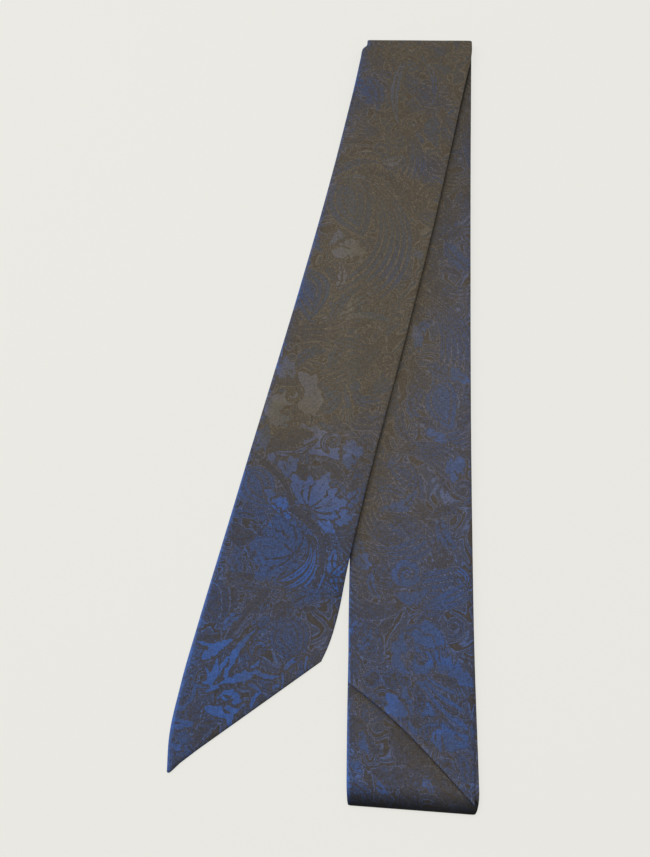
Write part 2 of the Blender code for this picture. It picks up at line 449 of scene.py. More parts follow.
@dataclass(frozen=True)
class Rosette(Motif):
    """A layered flower: rings of petals, with ring k's edge at R s_k (1 - c + c |cos(n a / 2)|^0.7)."""

    petals: int = 7
    swirl: float = 0.8
    scallop: float = 0.18
    rings: tuple[float, ...] = (0.72, 0.46, 0.22)
    ring_turn: float = 0.9
    ring_start: float = 0.4
    scallop_power: float = 0.7
    cleft_thinning: float = 0.1
    rib_thinning: float = 0.08

    def edge(self, angle: np.ndarray, share: float, petals: int, start: float) -> np.ndarray:
        """Radius of one ring's scalloped edge at each angle."""
        wave = np.abs(np.cos(petals * angle / 2.0 + start)) ** self.scallop_power
        return self.size * share * (1.0 - self.scallop + self.scallop * wave)

    def draw(self, x: np.ndarray, y: np.ndarray) -> tuple[np.ndarray, np.ndarray]:
        """Distance is the outer edge's radius less the point's; ribs are the inner edges and petal clefts.

        Args:
            x: millimetres forward of the root.
            y: millimetres to the side.

        Returns:
            Signed distance to the outline, positive inside, and distance to the nearest inner line.
        """
        radius = np.hypot(x, y)
        angle = np.arctan2(y, x) + self.swirl * radius / self.size
        figure = self.edge(angle, 1.0, self.petals, 0.0) - radius
        rib = np.full_like(radius, FAR)
        outer = self.edge(angle, 1.0, self.petals, 0.0)
        for rank, share in enumerate(self.rings):
            petals = max(self.petals - rank - 1, 3)
            inner = self.edge(angle, share, petals, self.ring_turn * rank + self.ring_start)
            rib = np.minimum(rib, np.abs(radius - inner))
            gap = (petals * angle / 2.0 + self.ring_turn * rank) % np.pi - np.pi / 2
            cleft = np.abs(gap) * 2.0 / petals * radius
            between = (radius > inner) & (radius < outer)
            rib = np.where(between, np.minimum(rib, cleft + self.cleft_thinning), rib)
            outer = inner
        return figure, rib + self.rib_thinning


@dataclass(frozen=True)
class Bloom(Motif):
    """A half-open flower from the side: toothed petals fanned about the root, the middle ones in front."""

    petals: int = 7
    spread: float = 75.0
    breadth: float = 0.25
    tooth: float = 0.42
    belly: float = 1.35
    fullness: float = 0.8
    odd_shorter: float = 0.15
    outer_shorter: float = 0.04
    teeth: float = 19.0
    teeth_rise: float = 2.0
    teeth_start: float = 0.6
    spine_span: Span = (0.4, 0.7)
    spine_fade: float = 9.0
    spine_thinning: float = 0.18
    petal_gap: float = 0.35
    rim: float = 0.7

    def draw(self, x: np.ndarray, y: np.ndarray) -> tuple[np.ndarray, np.ndarray]:
        """A petal's distance is its toothed half width less that from its spine; edges in front are ribs.

        Args:
            x: millimetres forward of the root.
            y: millimetres to the side.

        Returns:
            Signed distance to the outline, positive inside, and distance to the nearest inner line.
        """
        figure, rib = np.full_like(x, -FAR), np.full_like(x, FAR)
        half_fan = (self.petals - 1) // 2
        for rank in range(half_fan, -1, -1):
            for hand in (-1, 1) if rank else (1,):
                lean = math.radians(hand * rank * self.spread / half_fan)
                length = self.size * (1.0 - self.odd_shorter * (rank % 2) - self.outer_shorter * rank)
                forward = x * math.cos(lean) + y * math.sin(lean)
                aside = y * math.cos(lean) - x * math.sin(lean)
                share, side, beyond = bent_spine(forward, aside, length, 0.0)
                scallops = np.abs(np.sin(share * self.teeth + rank))
                toothed = smooth_step(share * self.teeth_rise - self.teeth_start)
                notched = 1.0 - self.tooth * toothed * scallops
                half = length * self.breadth * np.sin(np.pi * share**self.belly) ** self.fullness * notched
                petal = round_spine(half, side, beyond)
                start, end = self.spine_span
                past = np.maximum(start - share, 0.0) + np.maximum(share - end, 0.0)
                spine = side + past * self.spine_fade + self.spine_thinning
                figure = np.maximum(petal, figure)
                own_rib = np.maximum(np.minimum(spine, np.abs(petal)), -petal)
                rib = np.minimum(np.maximum(rib, petal + self.petal_gap), own_rib)
        return figure, np.maximum(rib, self.rim - figure)


@dataclass(frozen=True)
class Paisley(Motif):
    """A bent drop filled with bands that follow its outline, round a solid eye."""

    width: float = 0.34
    bend: float = 0.12
    pitch: float = 3.2
    heft: float = 1.1
    belly: float = 0.7
    fullness: float = 0.75
    waver: float = 0.3
    waver_along: float = 1.7
    waver_across: float = 1.3
    eye: float = 0.62

    def draw(self, x: np.ndarray, y: np.ndarray) -> tuple[np.ndarray, np.ndarray]:
        """At d in from the drop's edge, a band's distance is heft less |d mod pitch - pitch / 2|.

        Args:
            x: millimetres forward of the root.
            y: millimetres to the side.

        Returns:
            Signed distance to the outline, positive inside, and distance to the nearest inner line.
        """
        length = self.size
        share, side, beyond = bent_spine(x, y, length, self.bend)
        half = length * self.width * np.sin(np.pi * share**self.belly) ** self.fullness
        deep = round_spine(half, side, beyond)
        deep = deep + self.waver * np.sin(x * self.waver_along + y) * np.cos(y * self.waver_across)
        bands = self.heft - np.abs(deep % self.pitch - self.pitch / 2)
        eye = deep - self.eye * length * self.width
        return np.where(deep > 0.0, np.maximum(bands, eye), deep), np.full_like(x, FAR)


@dataclass(frozen=True)
class Stem(Motif):
    """A tapering stalk along an arc that bends away by a share of its length."""

    heft: float = 0.9
    bend: float = 0.2
    taper: float = 0.6

    def draw(self, x: np.ndarray, y: np.ndarray) -> tuple[np.ndarray, np.ndarray]:
        """Distance is half the stalk's width less the distance from the parabola y = 4 b L t (1 - t).

        Args:
            x: millimetres forward of the root.
            y: millimetres to the side.

        Returns:
            Signed distance to the outline, positive inside, and distance to the nearest inner line.
        """
        share, side, beyond = bent_spine(x, y, self.size, self.bend)
        slope = self.bend * 4.0 * (1.0 - 2.0 * share)
        half = self.heft * (1.0 - self.taper * share)
        return half - np.hypot(side / np.sqrt(1.0 + slope**2), beyond), np.full_like(x, FAR)


@dataclass(frozen=True)
class Patch(Motif):
    """A ragged island of bright weave: radius R with a few seeded waves round it, and short slits inside."""

    seed: int = 1
    stretch: float = 1.5
    waves: tuple[int, ...] = (2, 3, 5, 8, 13)
    ragged: float = 0.42
    slit_half: float = 1.6
    slit_every: float = 4.0
    slits_along: float = 0.6
    slits_across: float = 0.4
    slit_tilt: float = 0.7
    mean_radius: float = 0.8
    wave_share: float = 0.6

    def draw(self, x: np.ndarray, y: np.ndarray) -> tuple[np.ndarray, np.ndarray]:
        """Distance is the wavy radius less the point's, in a frame squeezed along the growth direction.

        Args:
            x: millimetres forward of the root.
            y: millimetres to the side.

        Returns:
            Signed distance to the outline, positive inside, and distance to the nearest inner line.
        """
        rng = np.random.default_rng(self.seed)
        reach = np.hypot(x / self.stretch, y)
        angle = np.arctan2(y, x / self.stretch)
        wave = sum(
            self.ragged / order**0.5 * np.cos(order * angle + rng.uniform(0.0, 2.0 * np.pi))
            for order in self.waves
        )
        slit = np.full_like(x, FAR)
        for _ in range(max(int(self.size / self.slit_every), 1)):
            at_x = rng.uniform(-self.slits_along, self.slits_along) * self.size
            at_y = rng.uniform(-self.slits_across, self.slits_across) * self.size / self.stretch
            tilt = rng.uniform(-self.slit_tilt, self.slit_tilt)
            along = (x - at_x) * math.cos(tilt) + (y - at_y) * math.sin(tilt)
            aside = (y - at_y) * math.cos(tilt) - (x - at_x) * math.sin(tilt)
            slit = np.minimum(slit, np.hypot(np.maximum(np.abs(along) - self.slit_half, 0.0), aside))
        return self.size / self.stretch * (self.mean_radius + self.wave_share * wave) - reach, slit


@dataclass(frozen=True)
class Mass(Motif):
    """Figures run together into one bright island, with dark tongues cut out of it.

    Its parts and cuts have places of their own on the cloth, and the island takes its own tone.
    """

    parts: tuple[Motif, ...] = ()
    cuts: tuple[Motif, ...] = ()

    def local(self, right: np.ndarray, down: np.ndarray) -> tuple[np.ndarray, np.ndarray]:
        """The points as they are: each part has a place of its own."""
        return right, down

    def draw(self, x: np.ndarray, y: np.ndarray) -> tuple[np.ndarray, np.ndarray]:
        """Distance is the largest of the parts', and at most minus each tongue's.

        Args:
            x: millimetres from the stretch's left edge.
            y: millimetres from its top fold.

        Returns:
            Signed distance to the outline, positive inside, and no inner line.
        """
        figure = np.full_like(x, -FAR)
        for part in self.parts:
            figure = np.maximum(figure, part.draw(*part.local(x, y))[0])
        for tongue in self.cuts:
            figure = np.minimum(figure, -tongue.draw(*tongue.local(x, y))[0])
        return figure, np.full_like(x, FAR)


class Sprig(Enum):
    """The kinds of small sprig, each with the random number below which it is picked."""

    LEAF = 0.38
    CURL = 0.48
    PLUME = 0.78
    BUD = 0.93
    ISLAND = 1.0

    @classmethod
    def picked(cls, number: float) -> Sprig:
        """The kind that a random number from 0 to 1 picks."""
        return next(kind for kind in cls if number < kind.value)


@dataclass(frozen=True)
class SprigForm:
    """How one kind of sprig is drawn: its motif, its length at size 1, and the motif's own sizes."""

    motif: type[Motif]
    length: float
    sizes: dict[str, float]


SPRIG_FORMS = {
    Sprig.LEAF: SprigForm(Leaf, 18.0, {"width": 0.15, "bend": 0.22, "lobes": 4.5}),
    Sprig.CURL: SprigForm(Scroll, 6.0, {"windings": 1.4, "heft": 0.2}),
    Sprig.PLUME: SprigForm(Plume, 28.0, {"ribbons": 4, "radius": 20.0, "pitch": 2.7}),
    Sprig.BUD: SprigForm(Paisley, 15.0, {"bend": 0.2, "pitch": 2.8, "heft": 0.85}),
    Sprig.ISLAND: SprigForm(Patch, 7.0, {"stretch": 2.0}),
}


@dataclass
class Drawing:
    """The woven drawing of one stretch: small sprigs all over it, and the large motifs laid over them."""

    length: float
    seed: int
    motifs: list[Motif] = field(default_factory=list)
    sprig_pitch: float = 11.5
    ahead: float = 28.0
    beyond: float = 12.0
    jitter: float = 4.0
    lean_jitter: float = 16.0
    brightest: float = 0.72
    island_gain: float = 0.2

    @staticmethod
    def flow(right: float, down: float) -> float:
        """The way that the small sprigs lean, in degrees: slow waves about straight down."""
        slow = 75.0 * math.sin(down / 26.0 + right / 40.0)
        return 90.0 + slow + 50.0 * math.cos(right / 15.0 - down / 33.0)

    def sprigs(self) -> list[Motif]:
        """Small sprigs on a jittered grid, from before the top fold to past the far end.

        Returns:
            The sprigs, in the order that they are laid.
        """
        rng = np.random.default_rng(self.seed)
        made: list[Motif] = []
        for down in np.arange(-self.ahead, self.length + self.beyond, self.sprig_pitch):
            for right in np.arange(0.0, STRIP_WIDTH + self.jitter, self.sprig_pitch):
                at_right = right + rng.uniform(-self.jitter, self.jitter)
                at_down = down + rng.uniform(-self.jitter, self.jitter)
                turn = self.flow(at_right, at_down) + rng.uniform(-self.lean_jitter, self.lean_jitter)
                kind = Sprig.picked(rng.uniform())
                flip = bool(rng.uniform() < 0.5)
                tone = rng.uniform(0.0, self.brightest)
                size = rng.uniform(0.6, 1.5)
                form = SPRIG_FORMS[kind]
                own = dict(form.sizes)
                if kind is Sprig.ISLAND:
                    own["seed"] = int(rng.integers(1, 9999))
                    tone = tone + self.island_gain
                made.append(form.motif(at_right, at_down, form.length * size, turn, tone, flip, **own))
        return made

    def fields(self, right: np.ndarray, down: np.ndarray) -> Fields:
        """The drawing at each point.

        Args:
            right: millimetres from the stretch's left edge.
            down: millimetres from its top fold.

        Returns:
            The figure, rib and tone at each point.
        """
        drawn = Fields.bare(len(right))
        for motif in self.sprigs() + self.motifs:
            near = np.hypot(right - motif.right, down - motif.down) < motif.reach
            where = np.flatnonzero(near)
            if len(where):
                figure, rib = motif.draw(*motif.local(right[where], down[where]))
                drawn.lay_over(where, figure, rib, motif.tone)
        return drawn


@dataclass(frozen=True)
class Spot:
    """A round spot of painted sheen where the silk turns bluer: amount at its middle, none at its radius."""

    right: float
    down: float
    radius: float
    amount: float


@dataclass
class Sheen:
    """How blue and how pale the shot silk looks along a stretch.

    Rows are (down, blueness at the left, in the middle, at the right), light is (down, level), and the rim is
    the bluer turned left edge. All of it is painted sheen, set by place on the cloth and not by the lamps.
    """

    rows: tuple[tuple[float, float, float, float], ...]
    light: tuple[tuple[float, float], ...]
    spots: tuple[Spot, ...] = ()
    # painted sheen: the turned left edge looks bluer
    rim: Falloff = Falloff(1.2, 1.4)

    def lightness(self, down: np.ndarray) -> np.ndarray:
        """How pale the painted sheen makes the silk, read from the (down, level) rows."""
        table = np.array(self.light)
        return np.interp(down, table[:, 0], table[:, 1])

    def blueness(self, right: np.ndarray, down: np.ndarray) -> np.ndarray:
        """Rows read by straight lines between them, then each spot's smooth bump, then the turned left edge.

        Args:
            right: millimetres from the left edge.
            down: millimetres from the top fold.

        Returns:
            From 0, bronze, to 1, blue.
        """
        table = np.array(self.rows)
        levels = [np.interp(down, table[:, 0], table[:, column]) for column in (1, 2, 3)]
        share = np.clip(right / STRIP_WIDTH, 0.0, 1.0) * 2.0
        blue = np.where(
            share < 1.0,
            levels[0] + (levels[1] - levels[0]) * share,
            levels[1] + (levels[2] - levels[1]) * (share - 1.0),
        )
        for spot in self.spots:
            away = np.hypot(right - spot.right, down - spot.down) / spot.radius
            blue = blue + spot.amount * (1.0 - smooth_step(away))
        return blue + self.rim.at(np.maximum(right, 0.0))


@dataclass
class Rings:
    """A sewn tube as a grid: one closed ring of points for each row, and what the cloth is at each point."""

    points: np.ndarray
    place: np.ndarray

    @property
    def shape(self) -> tuple[int, int]:
        """Rows and points in a ring."""
        return self.points.shape[0], self.points.shape[1]


@dataclass
class SewnTube:
    """A stretch of the rag: silk folded lengthwise and seamed, so two plies thick, with rounded edges.

    The outer surface is a ring for each row. Its half thickness is (T / 2) sqrt(1 - (1 - d / r)^2) at d from
    an edge and full past r. The inner surface is the same ring drawn in by one ply.
    """

    name: str
    node: str
    slot: str
    drawing: Drawing
    sheen: Sheen
    edge_reach: float = 1.7
    edge_points: int = 6
    front_pitch: float = 0.72
    row_pitch: float = 0.72
    pucker: float = 0.12
    sway: float = 0.1
    long_swell: tuple[Wave, Wave] = (Wave(13.0, 17.0, 0.6), Wave(29.0, -23.0, 1.7))
    short_swell: tuple[Wave, Wave] = (Wave(7.1, -11.0), Wave(41.0, 9.0))
    short_share: float = 0.6
    pucker_pitch: float = 1.25
    uneven: float = 1.4
    uneven_pitch: float = 4.3
    bunch_pitch: float = 8.7
    bunch_start: float = 0.8
    seam_pucker: Falloff = Falloff(1.0, 3.2)
    fold_pucker: Falloff = Falloff(0.35, 2.2)
    # painted highlight along the pressed left fold
    painted_fold_highlight: Falloff = Falloff(0.6, 0.8)
    # painted shade along the seamed right edge
    painted_seam_shade: Falloff = Falloff(-0.1, 1.0)
    # painted shadow beside a covering edge: a dark line, then a wider soft shade
    painted_crevice_shadow: Falloff = Falloff(-0.66, 1.2)
    painted_soft_shadow: Falloff = Falloff(-0.3, 6.0)
    # painted shadow's brown tint beside a covering edge
    painted_shadow_brown: Falloff = Falloff(-0.5, 6.5)
    # painted light along the slanted end: shade on the loose stretch, a highlight on the under one
    painted_end_light: Falloff = Falloff(0.0, 1.2)

    def columns(self) -> tuple[np.ndarray, np.ndarray]:
        """Where the front's points stand across the strip, crowded towards the edges.

        Returns:
            The distances from the left edge, and the numbers of the columns that the back keeps, from the
            right.
        """
        turns = np.linspace(0.0, np.pi / 2, self.edge_points + 1)[:-1]
        rim = self.edge_reach * (1.0 - np.cos(turns))
        inner = STRIP_WIDTH - 2.0 * self.edge_reach
        flat = self.edge_reach + np.linspace(0.0, inner, int(inner / self.front_pitch) + 1)
        across = np.concatenate([rim, flat, STRIP_WIDTH - rim[::-1]])
        step = max(int(BACK_PITCH / self.front_pitch), 1)
        last = len(across) - 1
        middle = np.arange(self.edge_points + 1, last - self.edge_points, step)
        ends = np.arange(1, self.edge_points + 1, 2)
        back = np.unique(np.concatenate([ends, middle, last - ends]))
        return across, back[::-1]

    def middle(self, share: np.ndarray) -> tuple[np.ndarray, np.ndarray]:
        """The tube's middle surface: points as rows x columns x 3, and the distance down of each."""
        raise NotImplementedError

    def end_caps(self) -> tuple[bool, bool]:
        """Whether the first and last rows are hidden open ends."""
        return True, False

    def relief(self, right: np.ndarray, down: np.ndarray) -> np.ndarray:
        """Slack of the cloth: long low swells, and short puckers that die away from the seamed right edge.

        Args:
            right: millimetres from the left edge.
            down: millimetres from the top fold.

        Returns:
            Millimetres up.
        """
        long, slow = (wave.at(right, down) for wave in self.long_swell)
        short, steep = (wave.at(right, down) for wave in self.short_swell)
        swell = (long * slow + self.short_share * short * steep) / (1.0 + self.short_share)
        seam = self.seam_pucker.at(np.maximum(STRIP_WIDTH - right, 0.0))
        fold = self.fold_pucker.at(np.maximum(right, 0.0))
        puckers = np.sin(down / self.pucker_pitch + self.uneven * np.sin(down / self.uneven_pitch))
        bunches = np.sin(down / self.bunch_pitch + self.bunch_start)
        return self.sway * (1.0 + swell) + self.pucker * (puckers * bunches) * (seam + fold)

    def lengths(self) -> tuple[float, float]:
        """How long the stretch is, measured along its middle surface.

        Returns:
            The longest and the mean length of its columns, in millimetres.
        """
        middle, _ = self.middle(np.linspace(0.0, 1.0, 40))
        runs = np.linalg.norm(np.diff(middle, axis=0), axis=2).sum(axis=0)
        return float(runs.max()), float(runs.mean())

    def rings(self) -> tuple[Rings, Rings]:
        """Work the two surfaces out from the middle one, with the slack and the rounded end added.

        Returns:
            The outer and the inner surface.
        """
        across, back = self.columns()
        share = across / STRIP_WIDTH
        middle, down = self.middle(share)
        right = np.broadcast_to(across, down.shape)
        along_way = unit(np.gradient(middle, axis=0))
        across_way = unit(np.gradient(middle, axis=1))
        up = unit(np.cross(across_way, -along_way))
        slack = self.relief(right, down) * np.clip(up[:, :, 2], 0.0, 1.0)
        middle = middle + up * slack[:, :, None]
        from_edge = np.minimum(across, STRIP_WIDTH - across)
        profile = np.sqrt(1.0 - np.clip(1.0 - from_edge / self.edge_reach, 0.0, 1.0) ** 2)
        half = np.broadcast_to(PLIES / 2 * profile, down.shape)
        swing = np.radians(END_SWING[:1] if self.end_caps()[1] else END_SWING)
        reach = PLIES / 2 * np.sin(swing)
        middle = self.extend(middle, along_way, reach)
        down = np.concatenate([down, down[-1:] + reach[1:, None]])
        half = np.concatenate([half, half[-1:] * np.cos(swing)[1:, None]])
        up = np.concatenate([up, np.repeat(up[-1:], len(swing) - 1, axis=0)])
        across_way = np.concatenate([across_way, np.repeat(across_way[-1:], len(swing) - 1, axis=0)])
        right = np.broadcast_to(across, down.shape)
        outer = self.ring_of(middle, up, half, right, down, back)
        squeeze = WALL * (1.0 - 2.0 * right / STRIP_WIDTH)
        drawn_in = middle + across_way * squeeze[:, :, None]
        thin = half * (1.0 - 2.0 * WALL / PLIES)
        keep = self.inner_rows(along_way)
        inner = self.ring_of(drawn_in[keep], up[keep], thin[keep], right[keep], down[keep], back)
        return outer, inner

    @staticmethod
    def extend(middle: np.ndarray, along: np.ndarray, reach: np.ndarray) -> np.ndarray:
        """The middle surface with rows added past its last one, for the rounded end."""
        extra = [middle[-1] + along[-1] * distance for distance in reach[1:]]
        return np.concatenate([middle, np.array(extra)]) if extra else middle

    def inner_rows(self, along: np.ndarray) -> np.ndarray:
        """Which rows the inside keeps: every one where the cloth turns, and one in a few elsewhere.

        Args:
            along: unit vectors along the stretch, rows x columns x 3.

        Returns:
            The rows' numbers, in order.
        """
        last = len(along) - 2
        step = max(int(INNER_PITCH / self.row_pitch), 1)
        turning = np.linalg.norm(np.diff(along, axis=0), axis=2).max(axis=1) > TURNING
        return np.unique(
            np.concatenate([np.arange(0, last, step), np.flatnonzero(turning[:last]), [last]])
        )

    @staticmethod
    def ring_of(
        middle: np.ndarray,
        up: np.ndarray,
        half: np.ndarray,
        right: np.ndarray,
        down: np.ndarray,
        back: np.ndarray,
    ) -> Rings:
        """The front's points, middle + up h, from left to right, then the back's, middle - up h, back again.

        Args:
            middle: the middle surface, rows x columns x 3.
            up: its unit normals.
            half: h, half the thickness at each point.
            right: distances from the left edge.
            down: distances from the top fold.
            back: the columns that the back keeps.

        Returns:
            The rings, with each point's place on the cloth; to the right is negative on the back.
        """
        front = middle + up * half[:, :, None]
        under = (middle - up * half[:, :, None])[:, back]
        from_end = down[-1] - down
        place = np.stack([right, down, from_end], axis=2)
        under_place = np.stack([-right, down, from_end], axis=2)[:, back]
        return Rings(np.concatenate([front, under], axis=1), np.concatenate([place, under_place], axis=1))

    def build(self, centre: np.ndarray) -> bpy.types.Object:
        """Make the mesh: outer tube, inner tube, closed far end and joined open end, with its attributes.

        Args:
            centre: the plan point that becomes the origin, in millimetres.

        Returns:
            The piece's object.
        """
        outer, inner = self.rings()
        rows, count = outer.shape
        inner_rows = inner.shape[0]
        points = np.concatenate([outer.points.reshape(-1, 3), inner.points.reshape(-1, 3)]) - centre
        start = rows * count
        quads = [self.strip_faces(0, rows, count, False), self.strip_faces(start, inner_rows, count, True)]
        here = np.arange(count)
        after = (here + 1) % count
        quads.append(np.stack([here, after, start + after, start + here], axis=1))
        caps: list[np.ndarray] = []
        last_outer, last_inner = (rows - 1) * count, start + (inner_rows - 1) * count
        if self.end_caps()[1]:
            corners = [last_outer + after, last_outer + here, last_inner + here, last_inner + after]
            quads.append(np.stack(corners, axis=1))
        else:
            caps = [(last_outer + here)[::-1], last_inner + here]
        faces = np.concatenate(quads).tolist() + [cap.tolist() for cap in caps]
        mesh = bpy.data.meshes.new(self.name)
        mesh.from_pydata((points * MM).tolist(), [], faces)
        mesh.validate()
        mesh.shade_smooth()
        self.dress(mesh, outer, inner)
        piece = bpy.data.objects.new(self.name, mesh)
        bpy.context.scene.collection.objects.link(piece)
        return piece

    @staticmethod
    def strip_faces(start: int, rows: int, count: int, inward: bool) -> np.ndarray:
        """Quads between neighbouring rings.

        Args:
            start: the first ring's first point.
            rows: how many rings there are.
            count: how many points a ring has.
            inward: whether the faces look into the tube.

        Returns:
            Four point numbers for each face.
        """
        row, here = np.meshgrid(np.arange(rows - 1), np.arange(count), indexing="ij")
        after = (here + 1) % count
        near, far = start + row * count, start + (row + 1) * count
        order = (near + here, far + here, far + after, near + after)
        return np.stack([corner.ravel() for corner in (order if not inward else order[::-1])], axis=1)

    def past_cover(self, right: np.ndarray, down: np.ndarray) -> np.ndarray:
        """Millimetres from the edge of the stretch that lies over this one; large where none does."""
        return np.full_like(right, NO_COVER)

    def shade(self, right: np.ndarray, down: np.ndarray) -> np.ndarray:
        """How much lighter or darker the silk is than its colour.

        Painted light and shade: a highlight on the pressed left fold, shade on the seamed right edge, and a
        shadow in the crevice beside a covering edge. Each dies away from its own edge.

        Args:
            right: millimetres from the left edge.
            down: millimetres from the top fold.

        Returns:
            A factor, 1 where the colour is left as it is.
        """
        past = np.maximum(self.past_cover(right, down), 0.0)
        # painted highlight on the left fold, painted shade on the right edge, painted shadow in the crevice
        fold_highlight = 1.0 + self.painted_fold_highlight.at(right)
        seam = 1.0 + self.painted_seam_shade.at(STRIP_WIDTH - right)
        painted_crevice_shadow = 1.0 + self.painted_crevice_shadow.at(past) + self.painted_soft_shadow.at(past)
        return fold_highlight * seam * painted_crevice_shadow * self.sheen.lightness(down)

    def blueness(self, right: np.ndarray, down: np.ndarray) -> np.ndarray:
        """The painted sheen's blueness, browner beside a covering edge as painted shadow."""
        past = np.maximum(self.past_cover(right, down), 0.0)
        return self.sheen.blueness(right, down) + self.painted_shadow_brown.at(past)

    def dress(self, mesh: bpy.types.Mesh, outer: Rings, inner: Rings) -> None:
        """Store the drawing, the painted sheen's blueness, and the painted light and shade on the points.

        Args:
            mesh: the stretch's mesh.
            outer: its outer rings.
            inner: its inner rings.
        """
        place = np.concatenate([outer.place.reshape(-1, 3), inner.place.reshape(-1, 3)])
        right, down, from_end = place.T
        drawn_down = np.where(right < 0.0, self.drawing.length - down, down)
        drawn = self.drawing.fields(np.abs(right), drawn_down)
        store(mesh, "figure", drawn.figure)
        store(mesh, "rib", drawn.rib)
        store(mesh, "tone", drawn.tone)
        store(mesh, "blue", self.blueness(np.abs(right), down))
        # painted light along the slanted end, multiplied into the stored painted light and shade
        end_light = 1.0 + self.painted_end_light.at(np.maximum(from_end, 0.0))
        store(mesh, "dim", self.shade(np.abs(right), down) * end_light)
        layer = mesh.attributes.new("strip", "FLOAT_VECTOR", "POINT")
        flat = place * (1.0, 1.0, 0.0)
        layer.data.foreach_set("vector", flat.astype(np.float32).ravel())


def store(mesh: bpy.types.Mesh, name: str, values: np.ndarray) -> None:
    """Keep one number for each point under a name that the material reads."""
    mesh.attributes.new(name, "FLOAT", "POINT").data.foreach_set("value", values.astype(np.float32))


@dataclass
class LooseStretch(SewnTube):
    """The top stretch, which lies on the stack at its upper right and on the table beside it."""

    level: float = 3 * LAYER_PITCH + SOLID_CLOTH / 2
    fold_radius: float = 3 * LAYER_PITCH / 2
    tail_down: float = 14.7
    lift: float = 0.5
    lift_reach: float = 9.0
    settle_length: float = 40.0
    # painted shade along the slanted end
    painted_end_light: Falloff = Falloff(-0.6, 1.2)
    blunt: float = 1.5
    tip_reach: float = 1.6
    tip_power: int = 60
    outline: tuple[Place, ...] = LOOSE_OUTLINE

    def body(self, share: np.ndarray) -> np.ndarray:
        """Straight lines between the edges' curves at level 0, and the tip let out by b u e^(1 - u).

        Args:
            share: how far across each column is, from 0 at the left edge to 1 at the right.

        Returns:
            Points at level 0, rows x columns x 3.
        """
        table = plan(self.outline)
        steps = np.linalg.norm(np.diff((table[:, 0:2] + table[:, 2:4]) / 2, axis=0), axis=1)
        knots = np.concatenate([[0.0], np.cumsum(steps)])
        rows = int(knots[-1] / self.row_pitch)
        lines = smooth_through(knots, table, np.linspace(0.0, knots[-1], rows))
        left, right = lines[:, None, 0:2], lines[:, None, 2:4]
        flat = left + (right - left) * share[None, :, None]
        near_tip = np.linspace(0.0, 1.0, rows)[:, None] ** self.tip_power
        across = share * STRIP_WIDTH / self.tip_reach
        flat[:, :, 1] -= near_tip * self.blunt * across * np.exp(1.0 - across)
        return np.concatenate([flat, np.zeros(flat.shape[:2] + (1,))], axis=2)

    def heights(self, body: np.ndarray, share: np.ndarray) -> np.ndarray:
        """Level of the middle surface: on the stack, then down to the table with the distance past its edge.

        Args:
            body: the middle surface's points at level 0.
            share: how far across each column is.

        Returns:
            Rows x columns of millimetres.
        """
        stack_edge = plan(LAYERS_OUTLINE)[:, 0].min()
        _, _, free_x, free_y = plan(self.outline)[::-1].T
        leaves_stack = np.interp(stack_edge - EDGE_CLEAR, free_x, free_y)
        beside = np.maximum(stack_edge - body[:, :, 0], 0.0)
        below = np.maximum(leaves_stack - body[:, :, 1], 0.0)
        down = smooth_step(np.hypot(beside, below) / DROP_REACH)
        on_stack = (1.0 - down) * smooth_step((FOLDED_LENGTH / 2 - body[:, :, 1]) / self.settle_length)
        from_right = (1.0 - share[None, :]) * STRIP_WIDTH
        lifted = Falloff(self.lift, self.lift_reach).at(from_right) * on_stack
        return PLIES / 2 + (self.level - PLIES / 2) * (1.0 - down) + lifted

    def folded(self, body: np.ndarray) -> np.ndarray:
        """The rows ahead of the body: a half circle below its first row, and a flat tail to its hidden end.

        Args:
            body: the middle surface's points at their levels.

        Returns:
            The rows, hidden end first.
        """
        first = body[0]
        arc_rows = int(np.pi * self.fold_radius / self.row_pitch) + 4
        turns = np.linspace(np.pi, 0.0, arc_rows + 1)[:-1, None]
        fold = np.repeat(first[None], arc_rows, axis=0)
        fold[:, :, 1] += self.fold_radius * np.sin(turns)
        fold[:, :, 2] -= self.fold_radius * (1.0 - np.cos(turns))
        tail_end = FOLDED_LENGTH / 2 - self.tail_down
        tail_rows = int((first[:, 1].mean() - tail_end) / self.row_pitch)
        tail = np.repeat(fold[:1], tail_rows, axis=0)
        tail[:, :, 1] = np.linspace(np.full(len(first), tail_end), fold[0, :, 1], tail_rows + 1)[:-1]
        return np.concatenate([tail, fold])

    def middle(self, share: np.ndarray) -> tuple[np.ndarray, np.ndarray]:
        """Body, fold and tail; the distance down is the plan's on the body, and along the cloth ahead of it.

        Args:
            share: how far across each column is, from 0 at the left edge to 1 at the right.

        Returns:
            Points, and the distance down the stretch of each.
        """
        body = self.body(share)
        body[:, :, 2] = self.heights(body, share)
        ahead = self.folded(body)
        points = np.concatenate([ahead, body])
        table = plan(self.outline)
        axis = table[len(table) // 2, 0:2] - table[1, 0:2]
        axis = axis / np.linalg.norm(axis)
        down = (body[:, :, 0:2] - table[0, 0:2]) @ axis + self.outline[0].left_down
        steps = np.linalg.norm(np.diff(points[: len(ahead) + 1], axis=0), axis=2)
        back = np.cumsum(steps[::-1], axis=0)[::-1]
        return points, np.concatenate([down[0] - back, down])


